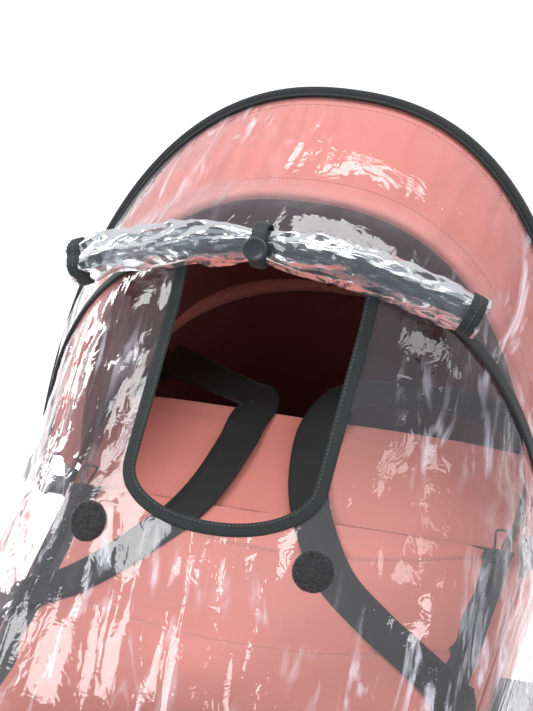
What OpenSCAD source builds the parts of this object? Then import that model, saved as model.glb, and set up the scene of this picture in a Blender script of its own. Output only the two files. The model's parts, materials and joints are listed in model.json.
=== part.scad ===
// A pram: a fabric carrycot with a folding hood and a clear rain cover, on a folding
// chassis with four wheels. X runs across, +Y towards the head end, +Z up from the ground.

/* [Carrycot] */
// Length of the carrycot
cot_length = 780; // [700:10:940]
// Width of the carrycot
cot_width = 400; // [330:5:480]
// Depth of the carrycot
cot_depth = 210; // [170:5:250]
// Corner radius of the carrycot in plan
cot_corner = 150; // [110:5:165]
// How much narrower each side is at the bottom
cot_taper = 22; // [10:1:30]
// Height of the carrycot's rim above the ground
rim_height = 760; // [700:10:920]
// Distance from the apron's seam to the foot end
foot_reach = 435; // [400:5:520]
// Thickness of the padded walls
wall = 6; // [4:0.5:8]
// Thickness of the mattress
mattress_t = 30; // [20:1:45]
// How far the wind flap reaches past the seam
flap_reach = 107; // [80:1:130]
// Width of a zip's tape
zip_w = 26; // [18:1:32]
// Width of a carry handle's webbing
webbing_w = 34; // [25:1:42]

/* [Hood] */
// Reach of the rim bow from the hinge
rim_reach = 363; // [340:1:430]
// Tilt of the rim bow above the carrycot
rim_tilt = 53; // [45:1:58]
// Reach of the lip bow from the hinge
lip_reach = 297; // [270:1:330]
// Tilt of the lip bow above the carrycot
lip_tilt = 72; // [66:1:78]
// Radius of the hood's hinge pin
hinge_pin_r = 4; // [3:0.5:6]

/* [Rain cover] */
// Thickness of the clear film
film_t = 1; // [0.8:0.1:1.5]
// Reach of the arch from the hinge
arch_reach = 292; // [275:1:330]
// Tilt of the arch
arch_tilt = 90; // [87:0.5:94]
// Half width of the window
window_hw = 80; // [64:1:90]
// Width of the binding tapes
binding_w = 14; // [10:1:18]
// Depth of the skirt
skirt_depth = 83; // [60:1:100]
// Radius of the rolled window flap
roll_r = 20; // [15:1:24]
// Radius of the button on the roll's loop
button_r = 10; // [7:0.5:13]
// Radius of a fastener dot
dot_r = 17; // [12:1:22]

/* [Chassis] */
// Height of the folding hubs above the ground
hub_height = 560; // [520:5:660]
// Radius of the frame tubes
tube_r = 11; // [9:0.5:13]
// Radius of the cross bars
bar_r = 9; // [7:0.5:11]
// Radius of the pin in a folding hub
hub_pin_r = 6; // [4:0.5:8]
// Radius of a front wheel
front_wheel_r = 75; // [60:1:90]
// Width of a front tyre
front_tyre_w = 30; // [22:1:36]
// Radius of a rear wheel
rear_wheel_r = 90; // [75:1:110]
// Width of a rear tyre
rear_tyre_w = 36; // [26:1:44]
// Radius of the wheel axles
axle_r = 5; // [4:0.5:7]
// Length of the handle's lower tubes
handle_lower_len = 560; // [480:5:680]
// Length of the handle's upper bow
handle_upper_len = 175; // [140:5:220]
// Radius of the grip
grip_r = 15; // [13:0.5:18]
// Distance from the hub back to the rear axle
rear_axle_back = 340; // [300:5:380]
// Distance from the hub forward to the caster stems
stem_ahead = 360; // [330:5:400]
// Depth of the basket
basket_depth = 150; // [110:5:180]

/* [Hidden] */
$fn = 48;
fit = 0.05;                 // radial clearance of a turning fit
gap = 0.3;                  // clearance between pieces that only meet
half_w = cot_width / 2;
head_y = cot_length - foot_reach;
foot_y = -foot_reach;
rim_r = 7;
pivot_y = 15;
pivot_z = -rim_r - 5;

// distances outwards from the carrycot's side along the hood's hinge pin
plate_x = gap;
plate_t = 3;
bow_t = 3;
lip_x = plate_x + plate_t + 0.7;
rim_x = lip_x + 20;
pin_head_t = 2.4;
film_x = rim_x + bow_t + gap + pin_head_t + 0.6;
bow_w = 10;
side_clear = 25;            // fabric and film stop this far from the hinge pin
fabric_t = 2;
skirt_flare = 5;

// the chassis
tube_wall = 2;
frame_x = half_w + film_x + skirt_flare + film_t + 10 + tube_r;
hub_y = -60;
hub_r = 32;
hub_cheek_t = 5;
lug_t = 7;
lug_r = 16;
lug_gap = 1;
tube_start = hub_r + 6;
handle_tilt = 142.2;
handle_len = handle_lower_len + handle_upper_len;
stem_y = hub_y + stem_ahead;
stem_r = 6;
trail = 30;
front_axle_y = stem_y - trail;
crown_z = 2 * front_wheel_r + 4;
crown_t = 9;
housing_z = crown_z + crown_t + 2;
housing_h = 50;
housing_r = 16;
leg_end_z = housing_z + 18;
front_tilt = atan2(leg_end_z - hub_height, stem_ahead - housing_r);
front_leg_len = sqrt(pow(leg_end_z - hub_height, 2) + pow(stem_ahead - housing_r, 2));
rear_tilt = atan2(rear_wheel_r - hub_height, -rear_axle_back);
rear_leg_len = sqrt(pow(rear_wheel_r - hub_height, 2) + pow(rear_axle_back, 2));
rear_axle_y = hub_y - rear_axle_back;
rear_wheel_x = frame_x + tube_r + 5 + rear_tyre_w / 2;
canopy_past = 5.96;         // how far the hood's rear stands past the carrycot
head_end = head_y + canopy_past;
handle_end = hub_y + handle_len * cos(handle_tilt) - grip_r;
y_shift = -(head_end + handle_end) / 2;

// ---- colours ----
pink = [0.91, 0.59, 0.54];
black = [0.12, 0.13, 0.13];
tape_grey = [0.18, 0.21, 0.21];
clear = [0.85, 0.88, 0.93, 0.35];
metal = [0.75, 0.76, 0.78];
dark = [0.16, 0.17, 0.18];

// ---- frames ----
module at_cot() {
    translate([0, y_shift, rim_height]) children();
}

module at_ground() {
    translate([0, y_shift, 0]) children();
}

module side(s) {
    mirror([s < 0 ? 1 : 0, 0, 0]) children();
}

module both_sides() {
    for (s = [-1, 1]) side(s) children();
}

// along_x: a cylinder along X from x0 to x1
module along_x(x0, x1, r) {
    translate([x0, 0, 0]) rotate([0, 90, 0]) cylinder(r = r, h = x1 - x0);
}

// ---- bow curves: |x/a|^n + |t/b|^n = 1, in a plane tilted about the hood's hinge line ----
function bow_k(u, w, n) = pow(pow(abs(u), n) + pow(abs(w), n), -1 / n);
function bow_xt(a, b, n, th) = let (k = bow_k(sin(th), cos(th), n)) [a * sin(th) * k, b * cos(th) * k];
function bow_pt(a, b, n, phi, th, off = 0) =
    let (q = bow_xt(a, b, n, th))
    [q[0], pivot_y + q[1] * cos(phi) - off * sin(phi), pivot_z + q[1] * sin(phi) + off * cos(phi)];
// the angle at which a bow comes down to side_clear from the hinge line
function bow_end(b, n, clear = side_clear) =
    let (w = clear / b) atan2(pow(1 - pow(w, n), 1 / n), w);
// the angle at which a bow stands at distance x from the middle
function bow_at_x(a, n, x) =
    let (u = abs(x) / a) (x < 0 ? -1 : 1) * atan2(u, pow(1 - pow(u, n), 1 / n));

// flat strip bent to a bow, from inner (a, b) and t thick, w wide
module bow_strip(a, b, n, t, w, th_end = 90, count = 36) {
    outer = [for (i = [0 : count]) bow_xt(a + t, b + t, n, th_end * (2 * i / count - 1))];
    inner = [for (i = [0 : count]) bow_xt(a, b, n, th_end * (1 - 2 * i / count))];
    linear_extrude(w, center = true) polygon(concat(outer, inner));
}

module tilt_plane(phi) {
    translate([0, pivot_y, pivot_z]) rotate([phi, 0, 0]) children();
}

// closed shell between two grids of points with the same rows and columns
module shell(outer, inner) {
    rows = len(outer);
    cols = len(outer[0]);
    skin = rows * cols;
    pts = concat([for (r = outer) for (p = r) p], [for (r = inner) for (p = r) p]);
    faces = concat(
        [for (r = [0 : rows - 2]) for (c = [0 : cols - 2]) let (i = r * cols + c)
            each [[i, i + 1, i + cols + 1], [i, i + cols + 1, i + cols]]],
        [for (r = [0 : rows - 2]) for (c = [0 : cols - 2]) let (i = skin + r * cols + c)
            each [[i, i + cols + 1, i + 1], [i, i + cols, i + cols + 1]]],
        [for (c = [0 : cols - 2]) each [[c, skin + c + 1, c + 1], [c, skin + c, skin + c + 1]]],
        [for (c = [0 : cols - 2]) let (i = (rows - 1) * cols + c)
            each [[i, i + 1, skin + i + 1], [i, skin + i + 1, skin + i]]],
        [for (r = [0 : rows - 2]) let (i = r * cols)
            each [[i, i + cols, skin + i + cols], [i, skin + i + cols, skin + i]]],
        [for (r = [0 : rows - 2]) let (i = r * cols + cols - 1)
            each [[i, skin + i + cols, i + cols], [i, skin + i, skin + i + cols]]]);
    polyhedron(pts, faces);
}

// closed solid swept through rings of points that turn left about the path's direction
module sweep(rings) {
    k = len(rings[0]);
    m = len(rings);
    pts = [for (r = rings) for (p = r) p];
    sides = [for (i = [0 : m - 2]) for (j = [0 : k - 1]) let (a = i * k + j, b = i * k + (j + 1) % k)
        each [[a, a + k, b + k], [a, b + k, b]]];
    start = [for (j = [1 : k - 2]) [0, j, j + 1]];
    last = (m - 1) * k;
    end = [for (j = [1 : k - 2]) [last, last + j + 1, last + j]];
    polyhedron(pts, concat(sides, start, end));
}

function unit(v) = v / norm(v);
function path_dir(p, i) = unit(p[min(i + 1, len(p) - 1)] - p[max(i - 1, 0)]);

// ribbon along points p, with a vector across it at each point
module ribbon(p, across, w, t) {
    sweep([for (i = [0 : len(p) - 1])
        let (d = path_dir(p, i),
             a = unit(across[i] - d * (across[i] * d)),
             n = cross(d, a))
        [p[i] - a * w / 2 - n * t / 2, p[i] + a * w / 2 - n * t / 2,
         p[i] + a * w / 2 + n * t / 2, p[i] - a * w / 2 + n * t / 2]]);
}

// ---- the carrycot ----
// half outline of a rounded rectangle ring, as points in plan
function cot_ring(inset, z, count = 8) =
    let (hw = half_w - inset, r = cot_corner - inset,
         corners = [[hw - r, head_y - inset - r, 0], [r - hw, head_y - inset - r, 90],
                    [r - hw, foot_y + inset + r, 180], [hw - r, foot_y + inset + r, 270]])
    [for (c = corners) for (i = [0 : count])
        let (g = c[2] + 90 * i / count) [c[0] + r * cos(g), c[1] + r * sin(g), z]];

shell_top = -2 * rim_r - gap;
shell_edge = 10;
// how far the outside of the wall stands in from the rim at a height below it
function side_inset(z) = 1 + (cot_taper - 2) * (shell_top - z) / (shell_top + cot_depth - shell_edge);

module cot_shell() {
    rings = [cot_ring(cot_taper + wall, wall - cot_depth), cot_ring(1 + wall, shell_top),
             cot_ring(1, shell_top), cot_ring(side_inset(shell_edge - cot_depth), shell_edge - cot_depth),
             cot_ring(cot_taper + shell_edge, -cot_depth)];
    k = len(rings[0]);
    color(pink) at_cot() polyhedron([for (r = rings) for (p = r) p], concat(
        [for (i = [0 : len(rings) - 2]) for (j = [0 : k - 1])
            let (a = i * k + j, b = i * k + (j + 1) % k)
            each [[a, b, b + k], [a, b + k, a + k]]],
        [[for (j = [0 : k - 1]) k - 1 - j]],
        [[for (j = [0 : k - 1]) 4 * k + j]]));
}

module corner_bend(x, y, z, turn, bend, r) {
    translate([x, y, z]) rotate([0, 0, turn]) rotate_extrude(angle = 90)
        translate([bend, 0]) circle(r = r);
}

module cot_rim() {
    r = cot_corner - rim_r;
    x = half_w - cot_corner;
    y0 = foot_y + cot_corner;
    y1 = head_y - cot_corner;
    color(pink) at_cot() union() {
        corner_bend(x, y1, -rim_r, 0, r, rim_r);
        corner_bend(-x, y1, -rim_r, 90, r, rim_r);
        corner_bend(-x, y0, -rim_r, 180, r, rim_r);
        corner_bend(x, y0, -rim_r, 270, r, rim_r);
        for (s = [-1, 1]) {
            translate([s * (half_w - rim_r), y0, -rim_r]) rotate([-90, 0, 0]) cylinder(r = rim_r, h = y1 - y0);
        }
        translate([-x, foot_y + rim_r, -rim_r]) rotate([0, 90, 0]) cylinder(r = rim_r, h = 2 * x);
        translate([-x, head_y - rim_r, -rim_r]) rotate([0, 90, 0]) cylinder(r = rim_r, h = 2 * x);
    }
}

// flat plate with the carrycot's plan, set in from its outline
module cot_plate(inset, t) {
    r = cot_corner - inset;
    x = half_w - cot_corner;
    y0 = foot_y + cot_corner;
    y1 = head_y - cot_corner;
    linear_extrude(t) union() {
        translate([-half_w + inset, y0]) square([2 * (half_w - inset), y1 - y0]);
        translate([-x, foot_y + inset]) square([2 * x, head_y - foot_y - 2 * inset]);
        for (cx = [-x, x]) for (cy = [y0, y1]) translate([cx, cy]) circle(r = r);
    }
}

tray_inset = cot_taper + wall + 6;
tray_t = 5;

module cot_tray() {
    color(dark) at_cot() translate([0, 0, wall - cot_depth]) cot_plate(tray_inset, tray_t);
}

module cot_feet() {
    foot_h = 8;
    color(dark) at_cot() for (sx = [-1, 1]) for (y = [foot_y + 160, head_y - 160])
        translate([sx * (half_w - cot_taper - 60), y, -cot_depth - foot_h]) cylinder(r = 14, h = foot_h);
}

module mattress() {
    color("white") at_cot() translate([0, 0, wall + tray_t + gap - cot_depth])
        cot_plate(tray_inset + 6, mattress_t);
}

apron_top = 3;

module apron() {
    thick = apron_top - gap;
    color(pink) at_cot() difference() {
        translate([0, 0, gap]) cot_plate(5, thick);
        translate([-half_w, 0, -1]) cube([cot_width, head_y + 1, thick + 2]);
    }
}

module apron_flap() {
    t = fabric_t;
    rise = 24;
    hw = half_w - 14;
    rows = 5;
    cols = 8;
    grid = [for (up = [t, 0]) [for (r = [0 : rows]) [for (c = [0 : cols])
        let (s = 1 - r / rows, x = hw * (2 * c / cols - 1))
        [x, gap + s * flap_reach, gap + up + apron_top * (1 - s) / 2 + rise * s * (1 - 0.5 * pow(x / hw, 4))]]]];
    color(pink) at_cot() shell(grid[0], grid[1]);
}

zip_x = half_w - 5 - zip_w / 2;
zip_run = 0.66 * foot_reach;
tape_t = 1.5;

module zip_tapes() {
    color(tape_grey) at_cot() both_sides()
        translate([zip_x - zip_w / 2, -zip_run, apron_top + 0.1]) cube([zip_w, zip_run, tape_t]);
}

module zip_slider(s) {
    z = apron_top + tape_t + 0.5;
    tab = 18;
    color(black) at_cot() side(s) translate([zip_x, -9, z]) union() {
        translate([-5, -7, 0]) cube([10, 14, 5]);
        difference() {
            translate([0, 6, 3]) linear_extrude(2) polygon([[-4, 0], [4, 0], [7, tab], [-7, tab]]);
            translate([0, 6, 2]) linear_extrude(4) polygon([[-2, 7], [2, 7], [4.5, tab - 3], [-4.5, tab - 3]]);
        }
    }
}

// carry handles: webbing that rises from inside one side, folds over and crosses the apron
rim_x_in = half_w - 12;
left_points = [[9 - rim_x_in, 226, -40], [-166, 196, -6], [-118, 152, 20], [-78, 124, 33], [-57, 112, 34],
    [-62, 88, 29], [-66, 66, 22], [-77, 22, 11.5], [-91, -19, 8.5], [-110, -54, 8], [-131, -90, 8],
    [-156, -121, 7.5], [-rim_x_in, -146, 7.5], [-rim_x_in - 8.5, -150, 6.5], [-rim_x_in - 14, -153, -1],
    [-rim_x_in - 15, -155, -12], [-rim_x_in - 15, -157, -34]];
left_across = [[0, 1, 0.4], [0.3, 1, 0.3], [0.4, 1, 0], [0.7, 0.7, 0], [1, 0, 0], [1, 0.1, 0], [1, -0.12, 0],
    [1, -0.28, 0], [1, -0.42, 0], [1, -0.54, 0], [0.85, -0.6, 0], [0.7, -0.8, 0], [0.3, -0.95, 0],
    [0.1, -1, 0], [0, -1, 0], [0, -1, 0], [0, -1, 0]];
right_points = [[rim_x_in - 9, 205, -45], [146, 186, -8], [100, 160, 26], [48, 136, 43], [18, 118, 46],
    [5, 96, 38], [1, 72, 27], [9, 28, 12.5], [30, -20, 8.5], [60, -70, 8], [99, -108, 7.5],
    [142, -144, 8.5], [rim_x_in, -181, 9.2], [rim_x_in + 8.5, -186, 9], [rim_x_in + 14.5, -189, -1],
    [rim_x_in + 15, -191, -12], [rim_x_in + 15, -193, -34]];
right_across = [[0, 1, 0.4], [-0.3, 1, 0.3], [-0.4, 0.95, 0], [-0.5, 0.85, 0], [-0.75, 0.6, 0], [-1, 0.25, 0],
    [-1, 0, 0], [-0.97, -0.28, 0], [-0.9, -0.45, 0], [-0.8, -0.6, 0], [-0.68, -0.73, 0], [-0.62, -0.78, 0],
    [-0.3, -0.95, 0], [-0.1, -1, 0], [0, -1, 0], [0, -1, 0], [0, -1, 0]];
webbing_t = 1.8;

module carry_handle(p, across) {
    color(black) at_cot() ribbon(p, across, webbing_w, webbing_t);
}

// sockets on the carrycot's sides that drop over the chassis's tongues
socket_y = hub_y;
socket_half = 30;
shelf_z = hub_height + hub_r + 6;
socket_top = shelf_z + 52;
tongue = [20, 28, 38];
tongue_x = half_w + 8;

module cot_receivers() {
    inner = half_w - side_inset(socket_top - rim_height) + gap;
    outer = tongue_x + tongue[0] + gap + 5;
    color(dark) at_ground() both_sides() difference() {
        translate([inner, socket_y - socket_half, shelf_z])
            cube([outer - inner, 2 * socket_half, socket_top - shelf_z]);
        translate([tongue_x - gap, socket_y - tongue[1] / 2 - gap, shelf_z - 1])
            cube([tongue[0] + 2 * gap, tongue[1] + 2 * gap, tongue[2] + 1 + gap]);
    }
}

// ---- the hood ----
module hood_hinges() {
    color(dark) at_cot() both_sides() translate([half_w, pivot_y, pivot_z]) union() {
        along_x(plate_x, plate_x + plate_t, 16);
        along_x(plate_x, rim_x + bow_t + gap + pin_head_t, hinge_pin_r);
        along_x(lip_x + bow_t + gap, rim_x - gap, hinge_pin_r + 4);
        along_x(rim_x + bow_t + gap, rim_x + bow_t + gap + pin_head_t, hinge_pin_r + 4);
    }
}

module hood_bow(reach, n, tilt, x) {
    at_cot() difference() {
        union() {
            tilt_plane(tilt) bow_strip(half_w + x, reach - bow_t, n, bow_t, bow_w);
            both_sides() translate([half_w, pivot_y, pivot_z]) along_x(x, x + bow_t, hinge_pin_r + 6);
        }
        both_sides() translate([half_w, pivot_y, pivot_z]) along_x(x - 1, x + bow_t + 1, hinge_pin_r + fit);
    }
}

rim_n = 2.3;
lip_n = 2.4;

module hood_rim_bow() {
    color(black) hood_bow(rim_reach, rim_n, rim_tilt, rim_x);
}

module hood_lip_bow() {
    color(metal) hood_bow(lip_reach, lip_n, lip_tilt, lip_x);
}

// fabric between two bow curves; each curve is [a, b, n, tilt, offset], bulge swells it outwards
module fabric(c0, c1, rows, cols, bulge) {
    e0 = bow_end(c0[1], c0[2]);
    e1 = bow_end(c1[1], c1[2]);
    grid = [for (d = [fabric_t, 0]) [for (r = [0 : rows]) let (s = r / rows, sw = bulge * 4 * s * (1 - s))
        [for (c = [0 : cols]) let (g = 2 * c / cols - 1,
            p = bow_pt(c0[0] + d, c0[1] + d, c0[2], c0[3], e0 * g, c0[4]),
            q = bow_pt(c1[0] + d, c1[1] + d, c1[2], c1[3], e1 * g, c1[4]),
            m = p * (1 - s) + q * s, out = unit([0, m[1] - pivot_y, m[2] - pivot_z]))
            m + out * sw * cos(80 * g)]]];
    shell(grid[0], grid[1]);
}

module hood_rear_fabric() {
    base = [half_w + 8, head_y - pivot_y + 3, 4, 0, 1];
    rim = [half_w + rim_x, rim_reach - fabric_t, rim_n, rim_tilt, -bow_w / 2 - gap];
    color(pink) at_cot() fabric(base, rim, 10, 24, 34);
}

module hood_front_fabric() {
    rim = [half_w + rim_x, rim_reach - fabric_t, rim_n, rim_tilt, bow_w / 2 + gap];
    lip = [half_w + lip_x, lip_reach - fabric_t, lip_n, lip_tilt, -bow_w / 2 - gap];
    color(pink) at_cot() fabric(rim, lip, 4, 24, 0);
}

// ---- the rain cover ----
film_a = half_w + film_x;
rim_rest = 3.8;             // the film lies this far past the rim bow's middle
cover_end = pivot_y - foot_y + 5;
crease_tilt = 148.5;        // the film leaves the window's slope and lies forward from here
foot_tilt = 177.8;
// reach of the film's inner face from the hinge line at each tilt
film_reach = [[rim_tilt, rim_reach + rim_rest], [62.5, (rim_reach + lip_reach) / 2 + 1], [lip_tilt, lip_reach + 7],
    [80, lip_reach + 3], [arch_tilt - 2.2, arch_reach - 0.6], [arch_tilt, arch_reach],
    [100, 0.897 * arch_reach], [110, 0.836 * arch_reach], [120, 0.801 * arch_reach],
    [130, 0.791 * arch_reach], [140, 0.805 * arch_reach], [crease_tilt, 0.534 * cover_end],
    [160, 0.607 * cover_end], [170, 0.703 * cover_end], [176, 0.93 * cover_end], [foot_tilt, 0.995 * cover_end],
    [180, cover_end]];
film_power = [[rim_tilt, 2.3], [lip_tilt, 2.35], [arch_tilt, 2.32], [147, 3], [180, 4.5]];
// the arch stands in from the film's full width by this much
arch_in = 13.8;
film_wide = [[66, film_a], [82, film_a - arch_in], [125, film_a - arch_in], [155, film_a - 0.3 * arch_in],
    [180, film_a]];

function film_pt(phi, th, off = 0) =
    bow_pt(lookup(phi, film_wide) + off, lookup(phi, film_reach) + off, lookup(phi, film_power), phi, th);
function film_xp(x, phi, off = 0) =
    film_pt(phi, bow_at_x(lookup(phi, film_wide) + off, lookup(phi, film_power), x), off);

module film(tilts, cols) {
    grid = [for (d = [film_t, 0]) [for (phi = tilts)
        let (e = bow_end(lookup(phi, film_reach), lookup(phi, film_power)))
        [for (c = [0 : cols]) film_pt(phi, e * (2 * c / cols - 1), d)]]];
    shell(grid[0], grid[1]);
}

module rain_hood_film() {
    level = arch_tilt - 2.2;
    tilts = [for (i = [0 : 11]) rim_tilt + (level - rim_tilt) * i / 11];
    color(clear) at_cot() film(concat(tilts, [arch_tilt]), 28);
}

// the window's outline as [x, tilt], down one side, round the bottom and up the other
window_low = 130;
window_drop = 11;
function window_mid(phi) = 2 - 0.28 * (phi - arch_tilt);
seam_tilt = arch_tilt + 0.3;
window_top = arch_tilt + 1.7;
window_upright = concat(
    [for (i = [0 : 7]) [-window_hw, window_top + (window_low - window_top) * i / 8]],
    [for (i = [0 : 12]) let (g = 180 * i / 12)
        [-window_hw * sign(cos(g)) * pow(abs(cos(g)), 0.95), window_low + window_drop * pow(sin(g), 0.95)]],
    [for (i = [7 : -1 : 0]) [window_hw, window_top + (window_low - window_top) * i / 8]]);
window_line = [for (q = window_upright) [q[0] + window_mid(q[1]), q[1]]];

module rain_front_film() {
    look = 120;
    above = seam_tilt - 6;
    line = concat([[window_mid(above) - window_hw, above]], window_line, [[window_mid(above) + window_hw, above]]);
    far = [0, cos(look), sin(look)];
    up = [0, -sin(look), cos(look)];
    flat = [for (q = line) let (p = film_xp(q[0], q[1]) - [0, pivot_y, pivot_z]) [p[0], p * up]];
    color(clear) at_cot() difference() {
        film(concat([for (i = [0 : 9]) seam_tilt + (crease_tilt - seam_tilt) * i / 10],
            [for (i = [0 : 7]) crease_tilt + (176 - crease_tilt) * i / 7], [foot_tilt, 180]), 28);
        translate([0, pivot_y, pivot_z]) rotate([look - 90, 0, 0]) mirror([0, 1, 0])
            linear_extrude(arch_reach + 60) polygon([for (q = flat) [q[0], q[1]]]);
    }
}

module window_binding() {
    lift = film_t + 1.5 + tape_t / 2;
    p = [for (q = window_line) film_xp(q[0], q[1], lift)];
    out = [for (q = window_line) let (a = film_xp(q[0], q[1], lift + 5)) a - film_xp(q[0], q[1], lift)];
    color(tape_grey) at_cot() ribbon(p, [for (i = [0 : len(p) - 1]) cross(out[i], path_dir(p, i))],
        binding_w - 2, tape_t);
}

module rain_skirt() {
    top = pivot_z - gap;
    rows = 3;
    cols = 30;
    n = 4.5;
    e = bow_end(cover_end, n);
    grid = [for (d = [film_t, 0]) [for (r = [0 : rows]) let (s = r / rows)
        [for (c = [0 : cols]) let (q = bow_xt(film_a + d + skirt_flare * s, cover_end + d + skirt_flare * s, n,
            e * (2 * c / cols - 1))) [q[0], pivot_y - q[1], top - skirt_depth * s]]]];
    color(clear) at_cot() shell(grid[0], grid[1]);
}

hem_gap = 0.8;

module rain_hem_binding() {
    a = film_a + film_t + skirt_flare + hem_gap;
    b = cover_end + film_t + skirt_flare + hem_gap;
    e = bow_end(cover_end, 4.5);
    color(black) at_cot() translate([0, pivot_y, pivot_z - gap - skirt_depth]) mirror([0, 1, 0])
        bow_strip(a, b, 4.5, tape_t, binding_w, e);
}

module bound_bow(reach, n, tilt, clear) {
    t = 1.8;
    a = lookup(tilt, film_wide) + film_t + gap;
    tilt_plane(tilt) bow_strip(a, reach + film_t + gap, n, t, binding_w, bow_end(reach, n, clear));
}

module rain_rim_binding() {
    color(black) at_cot() bound_bow(rim_reach + rim_rest, rim_n, rim_tilt, side_clear);
}

arch_n = 2.32;
arch_clear = 60;            // the arch's binding stops this far above the hinge line

module rain_arch_binding() {
    color(black) at_cot() bound_bow(arch_reach, arch_n, arch_tilt, arch_clear);
}

// the rolled-up flap lies along the front of the arch and is drawn in at its loop
roll_half = 170;
roll_off = roll_r + 1;      // in front of the arch
roll_rise = roll_r - 2.5;   // above the arch
roll_sag = 44;
pinch = 4;
loop_x = -10;
function roll_centre(x) = let (t = arch_reach + roll_rise - roll_sag * pow(x / roll_half, 2), f = arch_tilt)
    [x, pivot_y + t * cos(f) - roll_off * sin(f), pivot_z + t * sin(f) + roll_off * cos(f)];
function roll_radius(x) = roll_r - pinch * exp(-pow((x - loop_x) / 22, 2));

module window_roll() {
    count = 26;
    sides = 14;
    xs = [for (i = [0 : count]) roll_half * (2 * i / count - 1)];
    p = [for (x = xs) roll_centre(x)];
    color(clear) at_cot() sweep([for (i = [0 : count])
        let (a = [0, -sin(arch_tilt), cos(arch_tilt)], n = cross(path_dir(p, i), a), r = roll_radius(xs[i]))
        [for (j = [0 : sides - 1]) let (g = 360 * j / sides) p[i] + r * (a * cos(g) + n * sin(g))]]);
}

loop_w = 12;
loop_t = 1.5;
loop_r = roll_r - pinch + 0.8;

module roll_loop() {
    color(black) at_cot() translate(roll_centre(loop_x)) difference() {
        along_x(-loop_w / 2, loop_w / 2, loop_r + loop_t);
        along_x(-loop_w / 2 - 1, loop_w / 2 + 1, loop_r);
    }
}

module roll_button() {
    face = 152;
    color(black) at_cot() translate(roll_centre(loop_x)) rotate([face - 90, 0, 0])
        translate([0, 0, loop_r + loop_t + 0.2]) cylinder(r = button_r, h = 4);
}

dots = [[-115.3, 143.7], [75.6, 146.1]];

// a round patch that follows the film
module film_patch(x0, phi0, r) {
    k = 20;
    turn = 180 / PI / lookup(phi0, film_reach);
    function ring(rr, off) = [for (j = [0 : k - 1]) let (g = 360 * j / k)
        film_xp(x0 + rr * cos(g), phi0 + turn * rr * sin(g), off)];
    top = concat([film_xp(x0, phi0, film_t + 2.4)], ring(r / 2, film_t + 2.4), ring(r, film_t + 2.2));
    low = concat([film_xp(x0, phi0, film_t + 0.6)], ring(r / 2, film_t + 0.6), ring(r, film_t + 0.6));
    m = len(top);
    polyhedron(concat(top, low), [for (j = [0 : k - 1]) let (a = 1 + j, b = 1 + (j + 1) % k)
        each [[0, a, b], [a, a + k, b + k], [a, b + k, b],
              [m, m + b, m + a], [m + a, m + b + k, m + a + k], [m + a, m + b, m + b + k],
              [a + k, m + a + k, m + b + k], [a + k, m + b + k, b + k]]]);
}

module fastener_dots() {
    color(black) at_cot() for (d = dots) film_patch(d[0], d[1], dot_r);
}

// ---- the chassis ----
module hollow(r, len) {
    difference() {
        cylinder(r = r, h = len);
        translate([0, 0, -1]) cylinder(r = r - tube_wall, h = len + 2);
    }
}

// a tube in the frame's plane, from the hub outwards at a tilt
module frame_tube(tilt, from, to) {
    translate([frame_x, hub_y, hub_height]) rotate([tilt, 0, 0]) translate([0, from, 0])
        rotate([-90, 0, 0]) hollow(tube_r, to - from);
}

// flat lug with an eye, reaching into the start of a tube
module lug(x0, tilt, y, z, eye_r, reach, bore) {
    translate([x0, y, z]) rotate([tilt, 0, 0]) difference() {
        union() {
            along_x(0, lug_t, eye_r);
            translate([0, 0, -tube_r + 3]) cube([lug_t, reach, 2 * tube_r - 6]);
        }
        along_x(-1, lug_t + 1, bore);
    }
}

cheek_in = frame_x - lug_t - lug_gap - hub_cheek_t - 1;
cheek_out = frame_x + lug_t + lug_gap + 1;

module hub(s) {
    color(dark) at_ground() side(s) difference() {
        union() {
            translate([0, hub_y, hub_height]) {
                along_x(cheek_in, cheek_in + hub_cheek_t, hub_r);
                along_x(cheek_out, cheek_out + hub_cheek_t, hub_r);
            }
            translate([cheek_in, hub_y, hub_height]) rotate([front_tilt, 0, 0])
                translate([0, lug_r + 3, 5 - tube_r]) cube([cheek_out - cheek_in + hub_cheek_t, 14, 2 * tube_r - 5]);
            translate([tongue_x - 2, socket_y - 18, hub_height + hub_r - 6])
                cube([cheek_in + 3 - tongue_x, 36, 12]);
            translate([tongue_x, socket_y - tongue[1] / 2, shelf_z - 1])
                cube([tongue[0], tongue[1], tongue[2] + 1]);
        }
        translate([0, hub_y, hub_height]) along_x(cheek_in - 1, cheek_out + hub_cheek_t + 1, hub_pin_r + fit);
    }
}

module hub_pins() {
    color(metal) at_ground() both_sides() translate([0, hub_y, hub_height]) union() {
        along_x(cheek_in, cheek_out + hub_cheek_t + 3, hub_pin_r);
        along_x(cheek_out + hub_cheek_t, cheek_out + hub_cheek_t + 3, hub_pin_r + 5);
    }
}

module hub_crossbar() {
    color(metal) at_ground() translate([-cheek_in, hub_y, hub_height - hub_r + bar_r + 1]) rotate([0, 90, 0])
        hollow(bar_r, 2 * cheek_in);
}

module front_leg(s) {
    color(metal) at_ground() side(s) difference() {
        frame_tube(front_tilt, lug_r + 3 + 14, front_leg_len + 20);
        translate([frame_x, stem_y, 0]) cylinder(r = housing_r, h = hub_height);
        translate([frame_x, stem_y, 0]) translate([-40, 0, 0]) cube([80, 80, hub_height]);
    }
}

front_bar_at = 0.72 * front_leg_len;

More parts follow.
